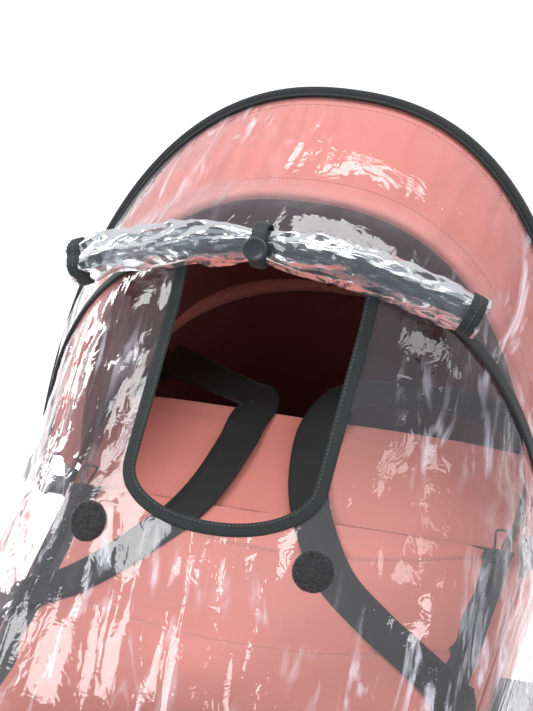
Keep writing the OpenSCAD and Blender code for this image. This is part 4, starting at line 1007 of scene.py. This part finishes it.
def make_carrycot():
    """Carrycot: padded outer cloth, piped rim, lining and its seams."""
    count = 220
    z = np.concatenate([[-8.0], np.linspace(-14, -196, 30), [-203.0, -208.0, -209.6]])
    depth = np.clip((-z - 14) / (COT_DEPTH - 24), 0, 1)
    inset = 1.0 + 20.0 * depth + np.where(z < -200, [9.0 * ((-k - 200) / 10) ** 2 for k in z], 0)
    puff = 1.6 * np.sin(np.clip((-z - 20) / 26, 0, 1) * np.pi) + 2.0 * np.sin(np.clip((-z - 46) / 150, 0,
        1) * np.pi)
    rows = []
    for zz, ins, pf in zip(z, inset, puff):
        q = cot_outline(max(ins - pf, 0.2), count)
        rows.append(np.concatenate([q, np.full((count, 1), zz)], 1))
    p = np.stack(rows)
    run = np.arange(count)[None] / count
    ease = 0.7 * noise(run * 34, -p[..., 2] / 60, 41) * np.sin(depth * np.pi)[:, None]
    out = unit((p - p.mean(1, keepdims=True)) * [1, 0.6, 0])
    p = p + out * ease[..., None]
    shell = surface("carrycot_cloth", p, material("fabric"), wrap=True, levels=1)
    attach(shell, "chassis")
    base = np.stack([np.concatenate([cot_outline(ins, count), np.full((count, 1), zz)], 1)
                     for ins, zz in ((30, -209.4), (33, -210.0), (90, -210.0), (140, -210.0))])
    floor = surface("carrycot_base", base, material("plastic"), wrap=True, caps=True)
    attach(floor, "chassis")
    zi = np.concatenate([[-4.0, -9.0], np.linspace(-16, -200, 24)])
    ins = 6.0 + np.clip((-zi - 14) / 186, 0, 1) * 22 + np.where(zi > -15, [6.0, 2.0] + [0] * 24, 0)
    lining = np.stack([np.concatenate([cot_outline(i, count), np.full((count, 1), k)], 1) for i,
                       k in zip(ins, zi)])
    lining += unit((lining - lining.mean(1, keepdims=True)) * [1, 0.6, 0]) * (0.8 * noise(run * 40,
        -lining[..., 2] / 40, 43))[..., None]
    inside = surface("carrycot_lining", lining[::-1], material("lining"), wrap=True, thick=0.6, side=-1.0)
    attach(inside, "chassis")
    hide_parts("cot_shell")

    outline = np.concatenate([cot_outline(7.0, 400), np.full((400, 1), -7.0)], 1)
    path = np.concatenate([outline, outline[:1]])
    d = directions(np.concatenate([outline[-2:], outline, outline[:3]]))[2:-2]
    side = np.cross(d, UP)
    g = np.linspace(0, 2 * np.pi, 20, endpoint=False)
    tube = path[:, None] + 6.9 * (side[:, None] * np.cos(g)[None, :, None] + UP * np.sin(g)[None, :, None])
    rim = surface("carrycot_rim", tube[:, ::-1], material("fabric"), wrap=True)
    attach(rim, "chassis")
    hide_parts("cot_rim")
    extra = []
    for name, zz, lift in (("upper", -18.0, 0.8), ("lower", -44.0, 0.9)):
        depth_here = np.clip((-zz - 14) / (COT_DEPTH - 24), 0, 1)
        q = np.concatenate([cot_outline(max(1.0 + 20 * depth_here - lift, 0.3), 700),
                            np.full((700, 1), zz)], 1)
        q = np.concatenate([q, q[:1]])
        normal = np.cross(directions(q), UP)
        extra.append(stitch_row(f"carrycot_stitches_{name}", q, normal, material("thread")))
    q = np.concatenate([cot_outline(3.0, 400), np.full((400, 1), -46.5)], 1)
    q = np.concatenate([q, q[:1]])
    extra.append(sweep("carrycot_welt", q, np.tile(UP, (401, 1)), ring(1.5, 10), material("fabric")))
    for piece in extra:
        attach(piece, "chassis")


SEAM_GAP = 118.0                       # from the upper seam to the lower one
FLAP_LENGTH = 107.0


def seam_dip(x):
    """How far the apron's seam bows towards the foot end at each x."""
    return -38.0 * (1 - (x / 182.0) ** 2)


def apron_height(x, y):
    """The apron's top: low at its seams and round its edge, full between them, with lazy folds."""
    first = bump(y - seam_dip(x), 0, 5.0)
    second = bump(y - seam_dip(x) + SEAM_GAP, 0, 5.5)
    edge = fade(np.abs(x), 150, 186)
    full = 4.4 * (1 - edge) * (1 - fade(-y, 380, 430))
    lazy = 0.9 * noise(x / 46 + 3, y / 60, 61) + 0.4 * noise(x / 17, y / 22, 63)
    return 3.2 + full * (1 - 0.75 * first) * (1 - 0.6 * second) + lazy * (1 - edge) * (1 - first)


def make_apron():
    """Apron: padded cloth over the foot half with two curved seams, and the wind flap up to its hem."""
    rows, cols = 110, 130
    t = np.linspace(0, 1, rows)[:, None]
    u = np.linspace(-1, 1, cols)[None]
    y = -(-FOOT_Y - 5.6) * t * np.ones_like(u)
    r = 145.0
    into = np.clip(-y - (-FOOT_Y - 150.0), 0, r)
    width = HALF_W - 5 - r + np.sqrt(np.maximum(r * r - into ** 2, 0))
    x = width * u
    z = apron_height(x, y)
    p = np.stack(np.broadcast_arrays(x, y, z), -1)
    p = np.concatenate([p[:, :1] * [1, 1, 0] + [0, 0, 0.4], p, p[:, -1:] * [1, 1, 0] + [0, 0, 0.4]], 1)
    apron = surface("apron_cloth", p, material("fabric"), thick=0.4, levels=1)
    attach(apron, "chassis")
    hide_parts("apron")

    rows = 46
    t = np.linspace(0, 1, rows)[:, None]
    u = np.linspace(-1, 1, 120)[None]
    x = 186.0 * u
    y = 4.0 * (1 - t) + FLAP_LENGTH * t - 6 * (1 - u ** 2) * t
    z = flap_height(x, t)
    top = np.stack(np.broadcast_arrays(x, y, z), -1)
    lip = np.stack([top[-1] + [0, 1.6, -0.6], top[-1] + [0, 2.0, -2.0], top[-1] + [0, 1.0, -3.4]])
    under = top[::-1] - [0, 1.0, 4.0]
    p = np.concatenate([top, lip, under])
    flap = surface("wind_flap", p[::-1], material("fabric"), levels=1)
    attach(flap, "chassis")
    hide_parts("apron_flap")

    edge = np.linspace(-181, 181, 240)
    rows = []
    for name, back in (("hem", 11.0), ("hem_second", 14.0)):
        tt = 1 - back / FLAP_LENGTH
        yy = 4 * (1 - tt) + FLAP_LENGTH * tt - 6 * (1 - (edge / 186) ** 2) * tt
        path = np.stack([edge, yy, flap_height(edge, tt)], -1)
        rows.append((f"flap_{name}_stitches", path))
    for name, y0, back in (("seam", 0.0, 4.5), ("seam_second", 0.0, 8.0), ("lower_seam", -SEAM_GAP, 4.0)):
        yy = seam_dip(edge) + y0 - back
        rows.append((f"apron_{name}_stitches", np.stack([edge, yy, apron_height(edge, yy) + 0.1], -1)))
    for name, path in rows:
        row = stitch_row(name, path, np.tile(UP, (len(path), 1)), material("thread"), lift=0.15)
        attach(row, "chassis")


def flap_height(x, t):
    """The wind flap's top: it climbs from the seam to its hem, a little fuller in the middle, with shallow
    waves."""
    climb = 27 * t - 3.5 * np.sin(np.pi * t)
    wave = 1.1 * noise(x / 52 + 8, t * 2.5, 67) * np.sin(np.pi * np.clip(t, 0, 1) * 0.8)
    return 4.0 + climb * (1 - 0.42 * (np.abs(x) / 186) ** 4) + wave


ZIP_RUN = 287.0


def make_zips():
    """Zips: woven tapes, coil teeth, and sliders with pulls."""
    s = sizes()
    x0 = HALF_W - 5 - s.zip_width / 2
    run = ZIP_RUN
    top = 4.9
    pieces = []
    for sgn, name in ((-1, "left"), (1, "right")):
        for half, edge in ((-1, "inner"), (1, "outer")):
            path = np.stack([np.full(60, sgn * x0 + half * s.zip_width * 0.26), np.linspace(2, -run, 60),
                             top - 0.7 + 0.25 * np.sin(np.linspace(0, 26, 60))], -1)
            pieces.append((sweep(f"zip_tape_{name}_{edge}", path, np.tile([1.0, 0, 0], (60, 1)),
                                 tape(s.zip_width * 0.46, 1.2, 14),
                                 material("zip_tape")), "chassis", "zip_grey"))
        yy = np.arange(0, -run + 6, -2.1)
        at = np.stack([sgn * x0 + 1.1 * np.where(np.arange(len(yy)) % 2 == 0, 1, -1), yy,
                       np.full(len(yy), top + 0.35)], -1)
        x, y = np.tile([1.0, 0, 0], (len(yy), 1)), np.tile([0, 1.0, 0], (len(yy), 1))
        pieces.append((copies(f"zip_teeth_{name}", at, x, y, np.tile(UP, (len(yy), 1)), (2.1, 0.72, 0.9),
                              BLOCK_V, BLOCK_F,
                              material("zip_teeth"), flat=True), "chassis", "zip_grey"))
        for k, off in ((0, -5.6), (1, 5.6)):
            path = np.stack([np.full(50, sgn * x0 + off), np.linspace(2, -run, 50), np.full(50, top + 0.1)],
                            -1)
            pieces.append((stitch_row(f"zip_stitches_{name}_{k}", path, np.tile(UP, (50, 1)),
                                      material("dark_thread"), lift=0.1),
                           "chassis", "zip_grey"))
        pieces += slider(sgn, name, x0, top)
    for piece, body, slot_name in pieces:
        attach(piece, body)
    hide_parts("zip_tapes")


def slider(sgn, name, x0, top):
    """A zip slider: a waisted body, a bridge and an open pull tab."""
    body = f"zip_{name}"
    x, y, z = np.array([1.0, 0, 0]), np.array([0, 1.0, 0]), UP
    at = np.array([sgn * x0, -9.0, top + 0.6])
    t = np.linspace(-1, 1, 15)
    width = 4.9 - 1.3 * np.abs(t) ** 2 * (t < 0) + 0.2 * (t > 0.4)
    path = at + t[:, None] * 7.2 * y + 1.9 * z
    hull = sweep(f"zip_slider_body_{name}", path, np.tile(x, (15, 1)), tape(9.6, 4.0, 18, 4.0),
                 material("slider"), size=width / 4.9)
    g = np.linspace(-0.2, np.pi + 0.2, 17)
    bridge = at + np.stack([np.zeros(17), 4.2 * np.cos(g), 3.6 + 2.6 * np.sin(g)], -1)
    hoop = sweep(f"zip_slider_bridge_{name}", bridge, np.tile(x, (17, 1)), tape(3.2, 1.2, 12, 4.0),
                 material("slider"))
    lean = np.array([0, 0.985, 0.17])
    start = at + 5.0 * z + 4 * y
    corners = np.array([[-3.6, 0], [-3.2, 5], [-5.6, 19], [-4.6, 21.5], [0, 22.2], [4.6, 21.5], [5.6, 19],
                        [3.2, 5], [3.6, 0], [0, -1.2], [-3.6, 0]])
    loop = spline(corners, 70)
    tab_path = start + loop[:, :1] * x + loop[:, 1:] * lean
    tab = sweep(f"zip_pull_{name}", tab_path, np.tile(np.cross(x, lean), (70, 1)), ring(1.05, 10),
                material("slider"))
    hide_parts(f"zip_slider_{name}")
    return [(hull, body, "slider_black"), (hoop, body, "slider_black"), (tab, body, "slider_black")]


LEFT_HANDLE = [(-179, 226, -40), (-166, 196, -6), (-118, 152, 20), (-78, 124, 33), (-57, 112, 34),
               (-62, 88, 29),
               (-66, 66, 22), (-77, 22, 12), (-91, -19, 9), (-110, -54, 8.5), (-131, -90, 8.5),
               (-156, -121, 8),
               (-188, -146, 8), (-196.5, -150, 7), (-202.4, -153, -1), (-203, -155, -12), (-203, -157, -34)]
LEFT_ACROSS = [(0, 1, 0.4), (0.3, 1, 0.3), (0.4, 1, 0), (0.7, 0.7, 0), (1, 0, 0), (1, 0.1, 0), (1, -0.12, 0),
               (1, -0.28, 0), (1, -0.42, 0), (1, -0.54, 0), (0.85, -0.6, 0), (0.7, -0.8, 0), (0.3, -0.95, 0),
               (0.1, -1, 0), (0, -1, 0), (0, -1, 0), (0, -1, 0)]
RIGHT_HANDLE = [(179, 205, -45), (146, 186, -8), (100, 160, 26), (48, 136, 43), (18, 118, 46), (5, 96, 38),
                (1, 72, 27),
                (9, 28, 13), (30, -20, 9), (60, -70, 8.5), (99, -108, 8), (142, -144, 8.8), (188, -181, 9.4),
                (196.5, -186, 9), (202.4, -189, -1), (203, -191, -12), (203, -193, -34)]
RIGHT_ACROSS = [(0, 1, 0.4), (-0.3, 1, 0.3), (-0.4, 0.95, 0), (-0.5, 0.85, 0), (-0.75, 0.6, 0), (-1, 0.25, 0),
                (-1, 0, 0), (-0.97, -0.28, 0), (-0.9, -0.45, 0), (-0.8, -0.6, 0), (-0.68, -0.73, 0),
                (-0.62, -0.78, 0),
                (-0.3, -0.95, 0), (-0.1, -1, 0), (0, -1, 0), (0, -1, 0), (0, -1, 0)]


def make_carry_handles():
    """Carry handles: webbing that rises out of the carrycot, folds over and lies across the apron."""
    s = sizes()
    for name, points, across in (("left", LEFT_HANDLE, LEFT_ACROSS), ("right", RIGHT_HANDLE, RIGHT_ACROSS)):
        both = spline(np.concatenate([np.array(points, float), 40.0 * unit(np.array(across, float))], 1), 220)
        path, side = both[:, :3], unit(both[:, 3:])
        strap = sweep(f"carry_handle_webbing_{name}", path, side, tape(s.webbing, 2.0, 26, 9.0),
                      material("webbing"))
        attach(strap, "chassis")
        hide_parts(f"carry_handle_{name}")
        d = directions(path)
        a = unit(side - d * np.sum(side * d, -1, keepdims=True))
        n = np.cross(d, a)
        k = 186
        box = np.array([(-1, -1), (1, -1), (1, 1), (-1, 1), (-1, -1), (1, 1), (1, -1), (-1, 1)], float)
        patch = path[k] + box[:, :1] * a[k] * s.webbing * 0.38 + box[:, 1:] * d[k] * 12
        up = np.tile(n[k] * np.sign(n[k][2]), (80, 1))
        row = stitch_row(f"carry_handle_stitches_{name}", even(patch, 80) + up * 1.2, up,
                         material("dark_thread"), pitch=3.0)
        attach(row, "chassis")


def make_mattress():
    """Mattress: a crowned knitted pad, swollen by cloth simulation."""
    low, high = (np.array(c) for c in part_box("mattress"))
    z0, z1 = (low[2] - ORIGIN[2]) / MM, (high[2] - ORIGIN[2]) / MM
    inset = HALF_W - high[0] / MM
    profile = [(150, 0), (60, 0), (16, 0), (5, 1.5), (1, 6), (0, 13), (0, 18), (1, 24), (5, 28.5), (16, 30),
               (60, 30), (149, 30)]
    count = 140
    rows = [np.concatenate([cot_outline(inset + min(i, 149.0 - inset), count),
                            np.full((count, 1), z0 + h * (z1 - z0) / 30)], 1)
            for i, h in profile]
    pad = surface("mattress_pad", np.stack(rows), material("knit"), wrap=True, caps=True)
    swell(pad, voxel=0.007, cap=0.004)
    m = pad.modifiers.new("Smooth", "SUBSURF")
    m.levels = m.render_levels = 1
    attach(pad, "chassis")
    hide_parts("mattress")


def swell(obj, voxel, cap):
    """Cloth simulation: the closed skin is blown out gently, and no point moves further than cap."""
    bpy.context.view_layer.objects.active = obj
    for o in bpy.context.selected_objects:
        o.select_set(False)
    obj.select_set(True)
    m = obj.modifiers.new("Remesh", "REMESH")
    m.mode, m.voxel_size = "VOXEL", voxel
    bpy.ops.object.modifier_apply(modifier=m.name)
    start = np.empty(len(obj.data.vertices) * 3)
    obj.data.vertices.foreach_get("co", start)
    m = obj.modifiers.new("Cloth", "CLOTH")
    m.settings.use_pressure = True
    m.settings.uniform_pressure_force = 4.0
    m.settings.quality = 4
    m.settings.effector_weights.gravity = 0.0
    m.point_cache.frame_start, m.point_cache.frame_end = 1, 20
    scene = bpy.context.scene
    for frame_number in range(1, 21):
        scene.frame_set(frame_number)
    bpy.ops.object.modifier_apply(modifier=m.name)
    scene.frame_set(1)
    end = np.empty(len(start))
    obj.data.vertices.foreach_get("co", end)
    move = (end - start).reshape(-1, 3)
    far = np.linalg.norm(move, axis=1, keepdims=True)
    move *= np.minimum(1, cap / np.maximum(far, 1e-9))
    obj.data.vertices.foreach_set("co", (start.reshape(-1, 3) + move).ravel())
    obj.data.polygons.foreach_set("use_smooth", [True] * len(obj.data.polygons))
    obj.data.update()


def make_basket():
    """Basket: a sagging mesh bag hung inside its wire rim, with a bound edge."""
    low, high = ((np.array(c) - ORIGIN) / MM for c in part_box("basket"))
    hw, y0, y1 = high[0], low[1], high[1]
    top, deep = high[2], high[2] - low[2]
    count = 200
    r = 40.0

    def plan(inset):
        """The basket's rounded outline, set in from its rim."""
        rr = max(r - inset * 0.5, 8)
        arcs = []
        for cx, cy, turn in ((hw - inset - rr, y0 + inset + rr, -90), (hw - inset - rr, y1 - inset - rr, 0),
                             (-hw + inset + rr, y1 - inset - rr, 90),
                             (-hw + inset + rr, y0 + inset + rr, 180)):
            g = np.radians(turn + np.linspace(0, 90, 16))
            arcs.append(np.stack([cx + rr * np.cos(g), cy + rr * np.sin(g)], -1))
        loop = np.concatenate(arcs + [arcs[0][:1]])
        return even(loop, count + 1)[:-1]

    profile = [(2, 0), (2, 20), (5, 50), (9, 85), (14, 118), (24, 136), (42, 145), (80, 149), (130, 150),
               (190, 150)]
    rows = []
    for inset, drop in profile:
        q = plan(min(inset, 185))
        rows.append(np.concatenate([q, np.full((count, 1), top - drop * deep / 150)], 1))
    p = np.stack(rows)
    run = np.arange(count)[None] / count
    fall = np.array([drop / 150 for _, drop in profile])[:, None]
    p += unit((p - p.mean(1, keepdims=True)) * [1, 1, 0]) * (-2.5 * np.abs(noise(run * 30, fall * 3,
        55)) * np.sin(np.pi * fall))[..., None]
    bag = surface("basket_bag", p, material("basket"), wrap=True, thick=1.2, levels=1)
    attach(bag, "chassis")
    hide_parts("basket")
    lay_sheet(bag)
    edge = np.concatenate([p[0], p[0][:1]]) + [0, 0, -4]
    band = sweep("basket_edge", edge, np.tile(UP, (count + 1, 1)), tape(16.0, 3.0, 14), material("webbing"))
    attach(band, "chassis")


FINISHES = {
    "plastic": ["cot_tray", "cot_feet", "cot_receivers", "hood_hinges", "hub_left", "hub_right",
                "caster_housings",
                "caster_fork_left", "caster_fork_right", "brake_pedal", "handle_knuckles", "hood_rim_bow"],
    "tube": ["hub_crossbar", "front_leg_left", "front_leg_right", "front_crossbar", "rear_leg_left",
             "rear_leg_right",
             "rear_axle_tube", "handle_lower_left", "handle_lower_right", "handle_upper", "hood_lip_bow"],
    "steel": ["hub_pins", "rear_axle", "basket_rim"],
    "tyre": ["front_tyre_left", "front_tyre_right", "rear_tyre_left", "rear_tyre_right"],
    "wheel": ["front_rim_left", "front_rim_right", "rear_rim_left", "rear_rim_right"],
    "grip": ["handle_grip"],
    "webbing": ["basket_straps"],
}


def finish_chassis():
    """Chassis: anodised, moulded and rubber finishes on the frame's own parts."""
    for key, names in FINISHES.items():
        for name in names:
            for slot in frame["nodes"][name].material_slots:
                slot.material = material(key)


def area_light(name, at, look, size, power, tint=(1, 1, 1)):
    """A softbox at a point in metres, turned to face another."""
    data = bpy.data.lights.new(name, "AREA")
    data.shape, data.size, data.size_y, data.energy, data.color = "RECTANGLE", size[0], size[1], power, tint
    lamp = bpy.data.objects.new(name, data)
    bpy.context.collection.objects.link(lamp)
    lamp.location = at
    lamp.rotation_euler = direction_to(np.array(look) - np.array(at))
    return lamp


def direction_to(v):
    """Euler angles that turn a lamp to look along v."""
    return Vector(v).to_track_quat("-Z", "Y").to_euler()


AZIMUTH, ELEVATION, ROLL = math.radians(17.98), math.radians(38.52), math.radians(-3.05)
CAMERA_DISTANCE = 2.984
LENS = 177.78                               # millimetres, for a 36 mm sensor
SHIFT_RIGHT, SHIFT_UP = -0.0121, 0.1432     # the middle of the view, in metres from the carrycot's rim


def make_stage():
    """Stage: camera, soft lights, plain floor and pale world."""
    scene = bpy.context.scene
    right = np.array([math.cos(AZIMUTH), math.sin(AZIMUTH), 0])
    back = np.array([math.sin(AZIMUTH) * math.cos(ELEVATION), -math.cos(AZIMUTH) * math.cos(ELEVATION),
                     math.sin(ELEVATION)])
    up = np.cross(back, right)
    target = ORIGIN + right * SHIFT_RIGHT + up * SHIFT_UP
    level = Matrix(np.stack([right, up, back], 1).tolist())
    data = bpy.data.cameras.new("camera")
    data.lens, data.sensor_width, data.sensor_fit = LENS, 36.0, "AUTO"
    data.clip_start, data.clip_end = 0.05, 60.0
    camera = bpy.data.objects.new("camera", data)
    bpy.context.collection.objects.link(camera)
    camera.location = target + back * CAMERA_DISTANCE
    camera.rotation_euler = (level @ Matrix.Rotation(ROLL, 3, "Z")).to_euler()
    scene.camera = camera

    mesh = bpy.data.meshes.new("floor")
    mesh.from_pydata([(-30, -30, 0), (30, -30, 0), (30, 30, 0), (-30, 30, 0)], [], [(0, 1, 2, 3)])
    floor = bpy.data.objects.new("floor", mesh)
    bpy.context.collection.objects.link(floor)
    mesh.materials.append(material("floor"))

    world = bpy.data.worlds.new("studio")
    world.use_nodes = True
    world.node_tree.nodes["Background"].inputs[0].default_value = (0.95, 0.96, 1.0, 1)
    world.node_tree.nodes["Background"].inputs[1].default_value = 0.75
    scene.world = world
    aim = (0, 0.1, 0.9)
    area_light("key", (-1.9, -1.2, 2.9), aim, (1.6, 1.6), 60)
    area_light("top", (0.3, 0.9, 3.0), aim, (2.2, 1.2), 55)
    area_light("fill", (2.6, -1.0, 1.8), aim, (1.2, 2.0), 26)
    area_light("strip_left", (-2.3, 1.0, 1.6), aim, (0.35, 2.2), 26)
    scene.view_settings.view_transform = "Standard"


# ---------------------------------------------------------------- operators

class PRAM_OT_stage(bpy.types.Operator):
    """Sets up the camera, lights and floor."""
    bl_idname, bl_label, bl_options = "pram.stage", "Stage", {"REGISTER"}

    def execute(self, context):
        make_stage()
        return {"FINISHED"}


class PRAM_OT_hood(bpy.types.Operator):
    """Makes the hood's cloth, lip, lining and seams."""
    bl_idname, bl_label, bl_options = "pram.hood", "Hood", {"REGISTER"}

    def execute(self, context):
        make_hood()
        return {"FINISHED"}


class PRAM_OT_rain_cover(bpy.types.Operator):
    """Makes the clear film, its bound edges and fastener dots."""
    bl_idname, bl_label, bl_options = "pram.rain_cover", "Rain cover", {"REGISTER"}

    def execute(self, context):
        make_rain_cover()
        return {"FINISHED"}


class PRAM_OT_roll(bpy.types.Operator):
    """Makes the rolled window flap, its loop and its button."""
    bl_idname, bl_label, bl_options = "pram.roll", "Rolled flap", {"REGISTER"}

    def execute(self, context):
        make_roll()
        return {"FINISHED"}


class PRAM_OT_carrycot(bpy.types.Operator):
    """Makes the carrycot's cloth, rim and lining."""
    bl_idname, bl_label, bl_options = "pram.carrycot", "Carrycot", {"REGISTER"}

    def execute(self, context):
        make_carrycot()
        return {"FINISHED"}


class PRAM_OT_apron(bpy.types.Operator):
    """Makes the padded apron and its wind flap."""
    bl_idname, bl_label, bl_options = "pram.apron", "Apron", {"REGISTER"}

    def execute(self, context):
        make_apron()
        return {"FINISHED"}


class PRAM_OT_zips(bpy.types.Operator):
    """Makes the zips and their sliders."""
    bl_idname, bl_label, bl_options = "pram.zips", "Zips", {"REGISTER"}

    def execute(self, context):
        make_zips()
        return {"FINISHED"}


class PRAM_OT_carry_handles(bpy.types.Operator):
    """Makes the webbing carry handles."""
    bl_idname, bl_label, bl_options = "pram.carry_handles", "Carry handles", {"REGISTER"}

    def execute(self, context):
        make_carry_handles()
        return {"FINISHED"}


class PRAM_OT_mattress(bpy.types.Operator):
    """Makes the mattress."""
    bl_idname, bl_label, bl_options = "pram.mattress", "Mattress", {"REGISTER"}

    def execute(self, context):
        make_mattress()
        return {"FINISHED"}


class PRAM_OT_basket(bpy.types.Operator):
    """Makes the mesh basket."""
    bl_idname, bl_label, bl_options = "pram.basket", "Basket", {"REGISTER"}

    def execute(self, context):
        make_basket()
        return {"FINISHED"}


class PRAM_OT_chassis(bpy.types.Operator):
    """Finishes the chassis, wheels and fittings."""
    bl_idname, bl_label, bl_options = "pram.chassis", "Chassis", {"REGISTER"}

    def execute(self, context):
        finish_chassis()
        return {"FINISHED"}


OPERATORS = [PRAM_OT_stage, PRAM_OT_hood, PRAM_OT_rain_cover, PRAM_OT_roll, PRAM_OT_carrycot, PRAM_OT_apron,
             PRAM_OT_zips, PRAM_OT_carry_handles, PRAM_OT_mattress, PRAM_OT_basket, PRAM_OT_chassis]


class PRAM_PT_panel(bpy.types.Panel):
    """Sidebar panel that lists the pram's pieces."""
    bl_label = "Pram"
    bl_space_type = "VIEW_3D"
    bl_region_type = "UI"
    bl_category = "Pram"

    def draw(self, context):
        for cls in OPERATORS:
            self.layout.operator(cls.bl_idname)
        for group in (context.scene.pram_sizes, context.scene.pram_colours):
            box = self.layout.box()
            for key in group.bl_rna.properties.keys():
                if key not in ("rna_type", "name"):
                    box.prop(group, key)


CLASSES = [PramSizes, PramColours, *OPERATORS, PRAM_PT_panel]


def register():
    """Registers the classes and their settings."""
    for cls in CLASSES:
        bpy.utils.register_class(cls)
    bpy.types.Scene.pram_sizes = PointerProperty(type=PramSizes)
    bpy.types.Scene.pram_colours = PointerProperty(type=PramColours)


def unregister():
    """Removes the settings and classes."""
    del bpy.types.Scene.pram_sizes
    del bpy.types.Scene.pram_colours
    for cls in reversed(CLASSES):
        bpy.utils.unregister_class(cls)


def main():
    """Registers the classes and makes every piece in order."""
    register()
    for cls in OPERATORS:
        group, name = cls.bl_idname.split(".")
        getattr(getattr(bpy.ops, group), name)()


if __name__ == "__main__":
    main()
